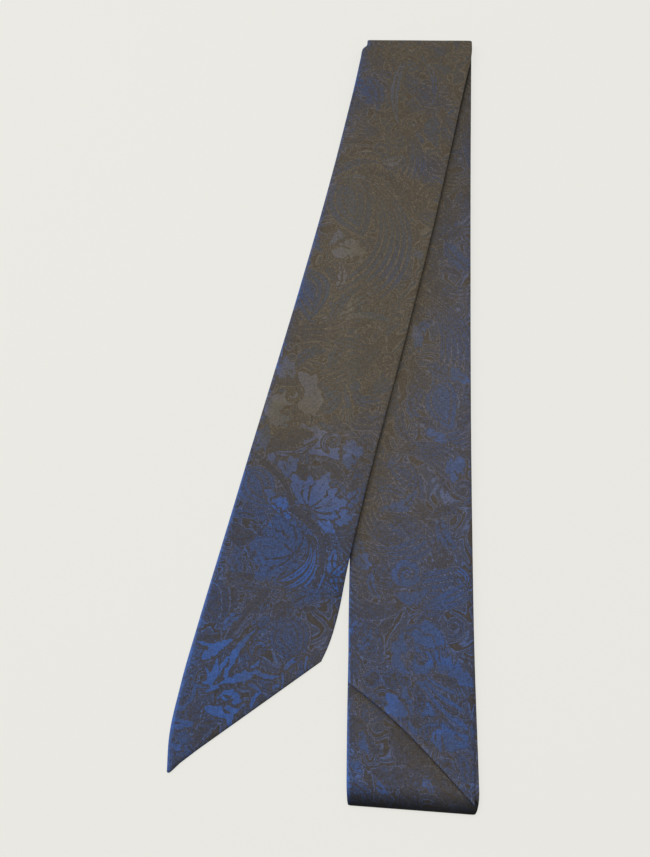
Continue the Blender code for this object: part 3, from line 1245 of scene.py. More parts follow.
@dataclass
class UnderStretch(LooseStretch):
    """The stretch in line with the stack, flat on the second layer, with its slanted end bowed back."""

    level: float = 2 * LAYER_PITCH + SOLID_CLOTH / 2
    fold_radius: float = LAYER_PITCH / 2
    bow_power: int = 3
    edge_cosine: float = 0.97
    # painted highlight along the slanted end
    painted_end_light: Falloff = Falloff(0.5, 1.2)
    blunt: float = 0.0
    outline: tuple[Place, ...] = UNDER_OUTLINE

    def body(self, share: np.ndarray) -> np.ndarray:
        """As for the loose stretch, with y raised by the slant's bow times u^3, for u from 0 to 1 down it.

        Args:
            share: how far across each column is, from 0 at the left edge to 1 at the right.

        Returns:
            Points at level 0, rows x columns x 3.
        """
        flat = super().body(share)
        near_end = np.linspace(0.0, 1.0, len(flat))[:, None] ** self.bow_power
        flat[:, :, 1] += near_end * slant_bow(share)
        return flat

    def heights(self, body: np.ndarray, share: np.ndarray) -> np.ndarray:
        """Flat on the second layer."""
        return np.full(body.shape[:2], self.level)

    def past_cover(self, right: np.ndarray, down: np.ndarray) -> np.ndarray:
        """Distance to the right of the loose stretch's right edge.

        Args:
            right: millimetres from the left edge.
            down: millimetres from the top fold.

        Returns:
            Millimetres, square to that edge.
        """
        _, _, edge_x, edge_y = plan(LOOSE_OUTLINE)[::-1].T
        over = right - STRIP_WIDTH / 2 - np.interp(FOLDED_LENGTH / 2 - down, edge_y, edge_x)
        return np.where(over > -UNDER_EDGE, over * self.edge_cosine, NO_COVER)


@dataclass
class FoldedLayers(SewnTube):
    """The two lowest layers as one length of tube, round the bottom fold."""

    shows_from: float = 378.0
    hidden_pitch: float = 4.5
    nose_level: float = 1.2
    roll: float = 9.0
    heel: float = 2.2
    corner_length: float = 11.0
    left_nip: float = 1.0
    right_nip: float = 3.0
    edge_cosine: float = 0.77
    past_nose: float = 1.0
    # painted shade round the bottom fold: how dark it gets, and over what length
    painted_roll_shade: float = 0.94
    roll_shade_length: float = 12.0
    heel_rows: int = 7
    roll_rows: int = 16

    def end_caps(self) -> tuple[bool, bool]:
        """Both ends are hidden open ends, inside the top folds."""
        return True, True

    def path(self) -> tuple[np.ndarray, np.ndarray]:
        """From the upper layer's hidden end round the bottom fold to the lower layer's.

        The roll is two quarter ellipses that share a nose: above, semi-axes (roll, rise); below, (heel, dip).

        Returns:
            Distance from the bottom fold and level of each row.
        """
        table = plan(LAYERS_OUTLINE)
        length = table[0, 1] - table[-1, 1]
        edge = PLIES / 2
        shown = length - self.shows_from
        below = np.arange(length, self.heel, -self.hidden_pitch)
        turn = np.linspace(0.0, np.pi / 2, self.heel_rows)
        heel_out = self.heel - (self.heel - edge) * np.sin(turn)
        heel_up = self.nose_level - (self.nose_level - edge) * np.cos(turn)
        top = LAYER_PITCH + SOLID_CLOTH - edge
        turn = np.linspace(0.0, np.pi / 2, self.roll_rows)[1:]
        roll_out = self.roll - (self.roll - edge) * np.cos(turn)
        roll_up = self.nose_level + (top - self.nose_level) * np.sin(turn)
        above = np.arange(self.roll + self.row_pitch, shown, self.row_pitch)
        above = np.concatenate([above, np.arange(shown, length, self.hidden_pitch), [length]])
        to_end = np.concatenate([below, heel_out, roll_out, above])
        level = np.concatenate([np.full(len(below), edge), heel_up, roll_up, np.full(len(above), top)])
        return to_end[::-1], level[::-1]

    def past_cover(self, right: np.ndarray, down: np.ndarray) -> np.ndarray:
        """Distance down from the under stretch's slanted end.

        Args:
            right: millimetres from the left edge.
            down: millimetres from the top fold.

        Returns:
            Millimetres, square to that end.
        """
        share = right / STRIP_WIDTH
        end = UNDER_OUTLINE[-1]
        cut = end.left_down + (end.right_down - end.left_down) * share - slant_bow(share)
        past = (down - cut) * self.edge_cosine
        return np.where((past > -UNDER_EDGE) & (down < FOLDED_LENGTH + self.past_nose), past, NO_COVER)

    def shade(self, right: np.ndarray, down: np.ndarray) -> np.ndarray:
        """As any stretch, with painted shade round the bottom fold."""
        roll_shade = smooth_step((down - FOLDED_LENGTH + self.roll_shade_length) / self.roll_shade_length)
        return super().shade(right, down) * (1.0 - self.painted_roll_shade * roll_shade)

    def middle(self, share: np.ndarray) -> tuple[np.ndarray, np.ndarray]:
        """Rows along the path, between the edges' curves, nipped in towards the fold's corners.

        Args:
            share: how far across each column is, from 0 at the left edge to 1 at the right.

        Returns:
            Points, and the distance down the stretch of each.
        """
        to_end, level = self.path()
        table = plan(LAYERS_OUTLINE)
        top = table[0, 1]
        length = top - table[-1, 1]
        lines = smooth_through(top - table[:, 1], table, length - to_end)
        nook = 1.0 - np.sqrt(1.0 - np.clip(1.0 - to_end / self.corner_length, 0.0, 1.0) ** 2)
        lines[:, 0] += self.left_nip * nook
        lines[:, 2] -= self.right_nip * nook
        flat = lines[:, None, 0:2] + (lines[:, None, 2:4] - lines[:, None, 0:2]) * share[None, :, None]
        points = np.concatenate([flat, np.broadcast_to(level[:, None, None], flat.shape[:2] + (1,))], axis=2)
        steps = np.concatenate([[0.0], np.cumsum(np.hypot(np.diff(to_end), np.diff(level)))])
        nose = int(np.argmin(to_end))
        down = FOLDED_LENGTH + steps - steps[nose]
        return points, np.broadcast_to(down[:, None], flat.shape[:2]).copy()


class Wire:
    """One output socket, on which Python's operators add Math nodes."""

    def __init__(self, tree: Weave, socket: bpy.types.NodeSocket) -> None:
        """Keep the tree that the operators add to."""
        self.tree, self.socket = tree, socket

    def __add__(self, other: Wire | float) -> Wire:
        """Sum."""
        return self.tree.math("ADD", self, other)

    def __sub__(self, other: Wire | float) -> Wire:
        """Difference."""
        return self.tree.math("SUBTRACT", self, other)

    def __rsub__(self, other: float) -> Wire:
        """Difference, with the wire taken away."""
        return self.tree.math("SUBTRACT", other, self)

    def __mul__(self, other: Wire | float) -> Wire:
        """Product."""
        return self.tree.math("MULTIPLY", self, other)

    __rmul__ = __mul__

    def __abs__(self) -> Wire:
        """Size without sign."""
        return self.tree.math("ABSOLUTE", self)

    def clamp(self) -> Wire:
        """Held between 0 and 1."""
        return self.tree.math("MAXIMUM", self.tree.math("MINIMUM", self, 1.0), 0.0)

    def most(self, other: Wire | float) -> Wire:
        """The larger of two."""
        return self.tree.math("MAXIMUM", self, other)

    def spread(self, low: float, high: float) -> Wire:
        """0 to 1 carried over to low to high."""
        return self * (high - low) + low

    def fraction(self) -> Wire:
        """What is left past the whole number."""
        return self.tree.math("FRACT", self)


Colour = tuple[float, float, float]


@dataclass(frozen=True)
class Grain:
    """A fractal noise: swells to a millimetre, octaves, how much the fine ones count, and its warp."""

    scale: float
    detail: float = 2.0
    rough: float = 0.5
    warp: float = 0.0


def linear(red: int, green: int, blue: int) -> Colour:
    """A colour given as it looks on a screen, 0 to 255, as the light that makes it."""
    levels = (channel / 255.0 for channel in (red, green, blue))
    return tuple(c / 12.92 if c <= 0.04045 else ((c + 0.055) / 1.055) ** 2.4 for c in levels)


class Weave:
    """A material's node tree, with one method for every kind of node."""

    def __init__(self, name: str) -> None:
        """Start a material with a Principled shader and an output.

        Args:
            name: the material's name.
        """
        self.material = bpy.data.materials.new(name)
        self.material.use_nodes = True
        self.nodes = self.material.node_tree.nodes
        self.links = self.material.node_tree.links
        self.shader = self.nodes["Principled BSDF"]

    def node(
        self,
        kind: str,
        settings: dict[str, object],
        sockets: dict[str | int, object],
        output: str | int,
    ) -> Wire:
        """Add a node.

        Args:
            kind: the node's type.
            settings: its own options, set first.
            sockets: the value or wire of each input.
            output: which output to hand back.

        Returns:
            That output.
        """
        made = self.nodes.new(kind)
        for option, value in settings.items():
            setattr(made, option, value)
        for socket, value in sockets.items():
            self.plug(made.inputs[socket], value)
        return Wire(self, made.outputs[output])

    def plug(self, socket: bpy.types.NodeSocket, value: object) -> None:
        """Link a wire to a socket, or set the socket's own value.

        Args:
            socket: an input.
            value: a wire, a colour or a number.
        """
        if isinstance(value, Wire):
            self.links.new(value.socket, socket)
        elif isinstance(value, tuple) and len(value) == 3 and socket.type == "RGBA":
            socket.default_value = (*value, 1.0)
        else:
            socket.default_value = value

    def math(self, operation: str, *values: Wire | float) -> Wire:
        """A Math node on up to three values."""
        return self.node("ShaderNodeMath", {"operation": operation}, dict(enumerate(values)), 0)

    def attribute(self, name: str) -> Wire:
        """A number stored on the points."""
        return self.node("ShaderNodeAttribute", {"attribute_name": name}, {}, "Fac")

    def place(self, name: str) -> Wire:
        """A vector stored on the points."""
        return self.node("ShaderNodeAttribute", {"attribute_name": name}, {}, "Vector")

    def scaled(self, vector: Wire, scale: Colour) -> Wire:
        """A vector with each part multiplied."""
        return self.node("ShaderNodeVectorMath", {"operation": "MULTIPLY"}, {0: vector, 1: scale}, 0)

    def noise(self, vector: Wire, grain: Grain) -> Wire:
        """Fractal noise about 0.5.

        Args:
            vector: the place.
            grain: the noise's sizes.

        Returns:
            The noise, from 0 to 1.
        """
        sockets = {
            "Vector": vector,
            "Scale": grain.scale,
            "Detail": grain.detail,
            "Roughness": grain.rough,
            "Distortion": grain.warp,
        }
        return self.node("ShaderNodeTexNoise", {"noise_dimensions": "3D"}, sockets, "Fac")

    def swirled(self, vector: Wire, scale: float, reach: float) -> Wire:
        """A place pushed sideways by a noise's three colours, up to half the reach each way.

        Args:
            vector: the place.
            scale: the noise's swells to a unit.
            reach: the longest push.

        Returns:
            The pushed place.
        """
        sockets = {"Vector": vector, "Scale": scale, "Detail": 1.0}
        push = self.node("ShaderNodeTexNoise", {"noise_dimensions": "3D"}, sockets, "Color")
        half = (0.5, 0.5, 0.5)
        centred = self.node("ShaderNodeVectorMath", {"operation": "SUBTRACT"}, {0: push, 1: half}, 0)
        shift = self.scaled(centred, (reach, reach, 0.0))
        return self.node("ShaderNodeVectorMath", {"operation": "ADD"}, {0: vector, 1: shift}, 0)

    def step(self, value: Wire, low: float, high: float) -> Wire:
        """0 at low, 1 at high, and smooth between."""
        sockets = {"Value": value, "From Min": low, "From Max": high}
        return self.node("ShaderNodeMapRange", {"interpolation_type": "SMOOTHSTEP"}, sockets, 0)

    def mix(self, share: Wire | float, first: Wire | Colour, second: Wire | Colour) -> Wire:
        """One colour turning into another."""
        settings = {"data_type": "RGBA", "blend_type": "MIX"}
        return self.node("ShaderNodeMix", settings, {0: share, 6: first, 7: second}, 2)

    def dimmed(self, colour: Wire, level: Wire) -> Wire:
        """A colour multiplied by a level."""
        return self.node("ShaderNodeVectorMath", {"operation": "SCALE"}, {0: colour, "Scale": level}, 0)

    def bump(self, height: Wire, distance: float, strength: float) -> Wire:
        """A normal tilted by a height."""
        sockets = {"Height": height, "Distance": distance, "Strength": strength}
        return self.node("ShaderNodeBump", {}, sockets, "Normal")


@dataclass(frozen=True)
class ShotJacquard:
    """Shot jacquard silk: bronze weft and blue warp, with the drawing woven in three tones.

    A span is the two values between which a mask goes from none to full, and levels are what a mask's none
    and full count for. A swirl is a noise's swells to a millimetre, and how far it pushes the marbling.
    """

    bronze_ground: Colour = linear(86, 76, 61)
    bronze_figure: Colour = linear(79, 79, 78)
    bronze_bright: Colour = linear(102, 93, 76)
    bronze_line: Colour = linear(111, 101, 86)
    blue_ground: Colour = linear(62, 60, 64)
    blue_figure: Colour = linear(58, 78, 122)
    blue_bright: Colour = linear(56, 89, 153)
    blue_line: Colour = linear(70, 103, 164)
    ground_rough: float = 0.58
    figure_rough: float = 0.46
    metallic: float = 0.12
    gloss: float = 0.25
    relief: float = 0.00006
    relief_strength: float = 0.8
    tooth: float = 0.95
    rib_tooth: float = 0.5
    line_out: float = 0.45
    tone_gain: float = 0.38
    swirls: tuple[tuple[float, float], ...] = ((0.035, 34.0), (0.2, 3.5))
    marble_bands: float = 8.5
    blue_flood: float = 1.05
    lively_blue: float = 0.4
    figure_blue: float = 0.12
    plain_fade: float = 0.8
    figure_height: float = 0.5
    line_height: float = 0.35
    thread_height: float = 0.25
    thread_gain: float = 1.15
    blotch_gain: float = 0.05
    level_offset: float = 0.17
    tooth_grain: Grain = Grain(0.7, 3.0, 0.65)
    stipple_grain: Grain = Grain(0.85, 2.0, 0.6, 1.6)
    break_grain: Grain = Grain(0.2, 2.0, 0.6)
    marble_grain: Grain = Grain(0.06, 1.0)
    drift_grain: Grain = Grain(0.035, 3.0, 0.65, 0.8)
    thread_grain: Grain = Grain(1.0, 2.0, 0.75)
    blotch_grain: Grain = Grain(0.14, 3.0, 0.6, 1.2)
    weft: Colour = (1.3, 0.5, 1.0)
    warp: Colour = (0.5, 1.3, 1.0)
    inside_span: Span = (-0.12, 0.12)
    rib_span: Span = (0.38, 0.6)
    line_span: Span = (0.076, 0.285)
    moat_span: Span = (-1.3, -0.7)
    ribbon_span: Span = (0.44, 0.56)
    vein_span: Span = (0.05, 0.2)
    dot_span: Span = (0.42, 0.54)
    break_span: Span = (0.4, 0.52)
    woven_span: Span = (0.58, 0.76)
    plain_span: Span = (0.72, 0.9)
    lively_span: Span = (0.7, 1.05)
    blotch_span: Span = (0.42, 0.58)
    rib_levels: Span = (0.25, 1.0)
    woven_levels: Span = (0.12, 1.0)
    ribbon_levels: Span = (0.25, 0.6)
    vein_levels: Span = (0.15, 1.0)
    line_levels: Span = (0.32, 0.8)
    drift_levels: Span = (0.4, 0.9)

    def marbling(self, weave: Weave, strip: Wire) -> Wire:
        """Slow bands of a noise, swirled coarsely and then finely: 0 in the middle of each and 1 at its edge.

        Args:
            weave: the material's tree.
            strip: the place on the flat strip.

        Returns:
            How far across a band the place is.
        """
        swirled = strip
        for scale, reach in self.swirls:
            swirled = weave.swirled(swirled, scale, reach)
        marble = weave.noise(swirled, self.marble_grain) * self.marble_bands
        return abs(marble.fraction() - 0.5) * 2.0

    def tones(self, weave: Weave, shot: Wire, lively: Wire, body: Wire, line: Wire) -> Wire:
        """Ground, figure and outline, each between its bronze and its blue.

        Args:
            weave: the material's tree.
            shot: how blue the painted sheen makes the silk.
            lively: how bright the figure is.
            body: where the figure is woven.
            line: where an outline runs.

        Returns:
            The colour.
        """
        ground = weave.mix(shot, self.bronze_ground, self.blue_ground)
        even = weave.mix(shot, self.bronze_figure, self.blue_figure)
        bright = weave.mix(shot, self.bronze_bright, self.blue_bright)
        fine = weave.mix(shot, self.bronze_line, self.blue_line)
        figured = weave.mix(body, ground, weave.mix(lively, even, bright))
        return weave.mix(line, figured, fine)

    def build(self) -> bpy.types.Material:
        """Work out the figure, rib, outline and marbling masks, and lay the tones with them.

        Returns:
            The material.
        """
        weave = Weave("shot_jacquard_silk")
        strip = weave.place("strip")
        # blue is the painted sheen, how blue the shot silk looks at each point; it also steers the figure
        blue = weave.attribute("blue")
        tone = weave.attribute("tone")
        tooth = weave.noise(strip, self.tooth_grain) - 0.5
        figure = weave.attribute("figure") + tooth * self.tooth
        inside = weave.step(figure, *self.inside_span)
        rib = 1.0 - weave.step(weave.attribute("rib") + tooth * self.rib_tooth, *self.rib_span)
        from_line = abs(figure + self.line_out)
        outline = 1.0 - weave.step(from_line, *self.line_span)
        band = self.marbling(weave, strip)
        ribbon = weave.step(band, *self.ribbon_span)
        vein = 1.0 - weave.step(abs(band - 0.5), *self.vein_span)
        open_ground = 1.0 - weave.step(figure, *self.moat_span)
        stipple = weave.noise(strip, self.stipple_grain)
        dots = weave.step(stipple, *self.dot_span)
        broken = weave.step(weave.noise(strip, self.break_grain), *self.break_span)
        woven = weave.step(stipple + tone * self.tone_gain, *self.woven_span)
        cut = 1.0 - rib * broken.spread(*self.rib_levels)
        body = inside * cut * woven.spread(*self.woven_levels)
        body = body + open_ground * ribbon * dots.spread(*self.ribbon_levels)
        body = (body + (blue - self.blue_flood).clamp()).clamp()
        veins = vein * open_ground.spread(*self.vein_levels)
        outline = outline * (1.0 - self.plain_fade * weave.step(tone, *self.plain_span))
        line = (outline.most(veins) * dots.spread(*self.line_levels)).clamp()
        drift = weave.noise(strip, self.drift_grain) - 0.5
        drifted = blue + drift * blue.spread(*self.drift_levels)
        shot = (drifted + (inside - 0.5) * self.figure_blue).clamp()
        lively = weave.step((tone * inside).most(blue - self.lively_blue) + drift, *self.lively_span)
        along = weave.noise(weave.scaled(strip, self.weft), self.thread_grain)
        cross = weave.noise(weave.scaled(strip, self.warp), self.thread_grain)
        blotch = weave.step(weave.noise(strip, self.blotch_grain), *self.blotch_span)
        threads = along * self.thread_gain + cross * self.thread_gain
        # dim is painted light and shade, with the sheen's brightness, multiplied into the colour
        level = weave.attribute("dim") * (threads + blotch * self.blotch_gain - self.level_offset)
        colour = weave.dimmed(self.tones(weave, shot, lively, body, line), level)
        height = body * self.figure_height + line * self.line_height
        height = height + along * self.thread_height + cross * self.thread_height
        shader = weave.shader
        weave.plug(shader.inputs["Base Color"], colour)
        smoothed = body * (self.ground_rough - self.figure_rough)
        weave.plug(shader.inputs["Roughness"], self.ground_rough - smoothed)
        shader.inputs["Metallic"].default_value = self.metallic
        shader.inputs["Specular IOR Level"].default_value = self.gloss
        weave.plug(shader.inputs["Normal"], weave.bump(height, self.relief, self.relief_strength))
        return weave.material


@dataclass(frozen=True)
class Lamp:
    """A soft box: where it hangs, what it faces, its sides in metres, and its power."""

    name: str
    at: tuple[float, float, float]
    towards: tuple[float, float, float]
    sides: tuple[float, float]
    power: float
    colour: Colour = (1.0, 1.0, 1.0)


@dataclass
class Studio:
    """Pale floor, soft light, and the camera at the photograph's angle. Camera sizes are in millimetres."""

    camera_at: tuple[float, float, float] = (1.07, -210.32, 518.03)
    camera_towards: tuple[float, float, float] = (-5.83, -32.25, 0.0)
    camera_roll: float = 2.22
    lens: float = 42.007
    floor_colour: Colour = linear(233, 232, 226)
    floor_rough: float = 0.95
    floor_glow: float = 0.845
    floor_dim: float = 0.2
    floor_side: float = 3.0
    ambient: float = 0.4
    lamps: tuple[Lamp, ...] = (
        Lamp("overhead", (0.1, 0.3, 1.3), (0.0, 0.0, 0.0), (2.4, 1.8), 8.0),
        Lamp("key", (-0.62, 0.2, 0.85), (0.0, 0.0, 0.0), (0.6, 0.6), 2.6),
    )

    def add_camera(self) -> None:
        """Look from the camera's place at its target, with the picture's up turned by the roll."""
        eye, target = (np.array(place) * MM for place in (self.camera_at, self.camera_towards))
        forward = unit(target - eye)
        roll = math.radians(self.camera_roll)
        right = unit(np.cross(forward, (-math.sin(roll), math.cos(roll), 0.0)))
        up = np.cross(right, forward)
        data = bpy.data.cameras.new("camera")
        data.lens = self.lens
        data.sensor_width = 36.0
        data.clip_start = 0.01
        camera = bpy.data.objects.new("camera", data)
        turned = np.eye(4)
        turned[:3, 0], turned[:3, 1], turned[:3, 2], turned[:3, 3] = right, up, -forward, eye
        camera.matrix_world = Matrix(turned.tolist())
        bpy.context.scene.collection.objects.link(camera)
        bpy.context.scene.camera = camera

    def add_floor(self) -> None:
        """A wide pale sheet, which glows a little so that its shadows stay faint."""
        half = self.floor_side / 2
        mesh = bpy.data.meshes.new("floor")
        corners = [(-half, -half, 0.0), (half, -half, 0.0), (half, half, 0.0), (-half, half, 0.0)]
        mesh.from_pydata(corners, [], [(0, 1, 2, 3)])
        floor = bpy.data.objects.new("floor", mesh)
        bpy.context.scene.collection.objects.link(floor)
        weave = Weave("pale_floor")
        shade = tuple(level * self.floor_dim for level in self.floor_colour)
        weave.plug(weave.shader.inputs["Base Color"], shade)
        weave.plug(weave.shader.inputs["Roughness"], self.floor_rough)
        weave.plug(weave.shader.inputs["Specular IOR Level"], 0.0)
        weave.plug(weave.shader.inputs["Emission Color"], self.floor_colour)
        weave.plug(weave.shader.inputs["Emission Strength"], self.floor_glow)
        mesh.materials.append(weave.material)

    def add_lights(self) -> None:
        """The soft boxes and an even dim surround."""
        for lamp in self.lamps:
            data = bpy.data.lights.new(lamp.name, "AREA")
            data.shape = "RECTANGLE"
            data.size, data.size_y = lamp.sides
            data.energy = lamp.power
            data.color = lamp.colour
            light = bpy.data.objects.new(lamp.name, data)
            light.location = lamp.at
            facing = Vector(lamp.towards) - Vector(lamp.at)
            light.rotation_euler = facing.to_track_quat("-Z", "Y").to_euler()
            bpy.context.scene.collection.objects.link(light)
        world = bpy.data.worlds.new("surround")
        world.use_nodes = True
        backdrop = world.node_tree.nodes["Background"]
        backdrop.inputs["Color"].default_value = (1.0, 1.0, 1.0, 1.0)
        backdrop.inputs["Strength"].default_value = self.ambient
        bpy.context.scene.world = world

    def build(self) -> None:
        """Set the whole studio up."""
        self.add_camera()
        self.add_floor()
        self.add_lights()
        view = bpy.context.scene.view_settings
        view.view_transform = "Standard"
        view.look = "None"


def rag_centre() -> np.ndarray:
    """The plan point that the solids take as their origin, in millimetres from the stack's middle."""
    return np.array([CENTRE_RIGHT, FOLDED_LENGTH / 2 - CENTRE_DOWN, 0.0])


def slit(right: float, down: float, size: float, turn: float, width: float, bend: float = 0.15) -> Leaf:
    """A narrow leaf to cut out of a mass."""
    return Leaf(right, down, size, turn, width=width, bend=bend, lobes=2)


def loose_top() -> list[Motif]:
    """Plumes, long thin leaves and an oval scroll on the loose stretch's upper half.

    Returns:
        The motifs, each over those before it.
    """
    return [
        Patch(10, 39.9, 9.2, 80, 0.55, seed=3),
        Plume(13, 5.9, 56.2, 58, 0.55, ribbons=4, radius=80, pitch=3),
        Plume(30, 57.6, 46, -72, 0.45, True, ribbons=4, radius=34, pitch=3),
        Paisley(36, 28, 24.2, 18, 0.3, bend=0.18, width=0.28, pitch=2.6, heft=0.8),
        Leaf(6, 28, 27, 66, 0.5, True, bend=0.16, width=0.16, lobes=5),
        Leaf(52, 47, 23, 75, 0.55, width=0.22),
        Plume(34, 58.8, 42.6, 40, 0.5, True, ribbons=4, radius=34),
        Scroll(31, 83.3, 10.6, -60, 0.6, windings=1.2, heft=0.16),
        Leaf(27, 10, 50, 84, 0.9, width=0.055, bend=0.1, lobes=6),
        Leaf(33, 4, 40, 68, 0.85, width=0.05, bend=-0.14, lobes=5),
        Leaf(27, 86.7, 14.1, -35, 0.85, width=0.27, lobes=3),
        Leaf(1, 100.4, 29.1, -27, 0.6, width=0.09, bend=-0.12, lobes=5),
        Plume(2, 98.1, 123.6, 0, 0.6, True, ribbons=6, radius=44, pitch=4.2, heft=0.34),
        Paisley(10, 98.1, 44.4, 66, 0.45, width=0.3, bend=0.06, pitch=4, heft=1.5),
        Leaf(4, 101, 38, 22, 0.95, width=0.04, bend=-0.2, lobes=6),
        Leaf(6, 104, 34, 38, 0.85, width=0.04, bend=-0.2, lobes=5),
        Patch(22, 147.6, 10.5, 20, 1, seed=8),
        Patch(13, 139.9, 5.4, 100, 0.9, seed=5),
        Paisley(-6, 165.1, 34.5, 62, 0.6, True, width=0.36, bend=0.16, pitch=3.6, heft=1.3),
        Leaf(21, 173.9, 18.4, -100, 0.9, width=0.16, lobes=3.5),
        Leaf(15, 194.4, 41.2, -46, 0.95, width=0.07, bend=0.1, lobes=6),
        Leaf(22, 195.4, 32, -62, 0.5, width=0.1, bend=-0.12, lobes=5),
        Leaf(24, 194.4, 38.7, -8, 0.9, width=0.06, bend=-0.14, lobes=7),
        Leaf(20, 198.6, 34.6, 9, 0.4, width=0.1, bend=0.12, lobes=6),
        Plume(-4, 202.7, 34.5, 2, 0.25, ribbons=3, radius=90, pitch=4.2),
        Paisley(30, 222.5, 26.8, 50, 0.5, bend=0.2),
        Plume(54, 193.4, 49.9, 95, 0.4, True, ribbons=4, radius=44),
        Patch(6, 226.7, 8.3, 60, 0.8, seed=6),
    ]


def loose_middle() -> list[Motif]:
    """A pale leafy mass, and a half-open flower among crescents, below the loose stretch's middle.

    Returns:
        The motifs, each over those before it.
    """
    return [
        Mass(
            right=16, down=246, size=28, tone=1,
            parts=(
                Patch(22, 239.1, 14, 55, seed=14),
                Patch(9, 256, 9, 10, seed=17),
                Leaf(1, 254, 28, -34, width=0.18, bend=-0.1, lobes=3),
                Leaf(20, 232, 22, 62, width=0.16, bend=-0.12, lobes=3),
            ),
            cuts=(
                Scroll(13, 241, 8, 210, windings=1.3, heft=0.3),
                slit(12, 258, 12, -36, 0.1),
            ),
        ),
        Leaf(30, 248, 17.8, -60, 0.5),
        Patch(6, 269.7, 8.9, 100, 0.75, seed=61),
        Patch(32, 263.8, 15.9, 5, 1, seed=21, stretch=1.7),
        Leaf(9, 273.6, 24.8, -32, 0.1, width=0.24, bend=-0.1, lobes=3),
        Leaf(9, 275.6, 26.8, -27, 1, width=0.06, bend=0.16, lobes=2),
        Scroll(42, 262.8, 6.4, 90, 0.85, heft=0.18),
        Patch(53, 267.7, 8.9, 60, 0.85, seed=23),
        Patch(13, 280.6, 5.9, 10, 0.9, seed=62),
        Patch(23, 282.5, 8.8, 60, 0.9, seed=63),
        Leaf(2, 288.3, 16.4, -35, 0.6, width=0.18, bend=0.25),
        Leaf(27, 278.6, 14.8, 25, 0.1, width=0.26, bend=0.2),
        Leaf(52, 297.6, 16.2, -52, 0.85, width=0.26, lobes=3),
        Patch(54, 302.3, 8.7, 10, 0.9, seed=64),
        Paisley(3, 287.3, 25.1, 48, 0.66, width=0.42, bend=0.08, pitch=3, heft=1),
        Patch(21, 302.3, 7.6, 40, 0.95, seed=65),
        Patch(25, 312.5, 8.5, -60, 1, seed=66),
        Bloom(38, 327.5, 27.1, 182, 0.62, petals=9, spread=96),
        Bloom(38, 302.3, 23.6, -74, 0.95, petals=9, spread=104, breadth=0.22),
        Bloom(38, 302.3, 9.4, 106, 0.7, petals=5, spread=60),
        Plume(42, 314.4, 43.9, 40, 0.95, True, ribbons=4, radius=20, pitch=4.2),
        Stem(8, 282.5, 33.2, 46, 0, bend=-0.13, heft=1.5),
        Stem(31, 304.1, 41.7, 62, 0, bend=-0.24, heft=1.9),
        Leaf(57, 320, 22.7, 74, 0.9, width=0.12, bend=0.1),
        Leaf(58, 334.7, 13.7, -60, 0.95, width=0.14, bend=0.1),
    ]


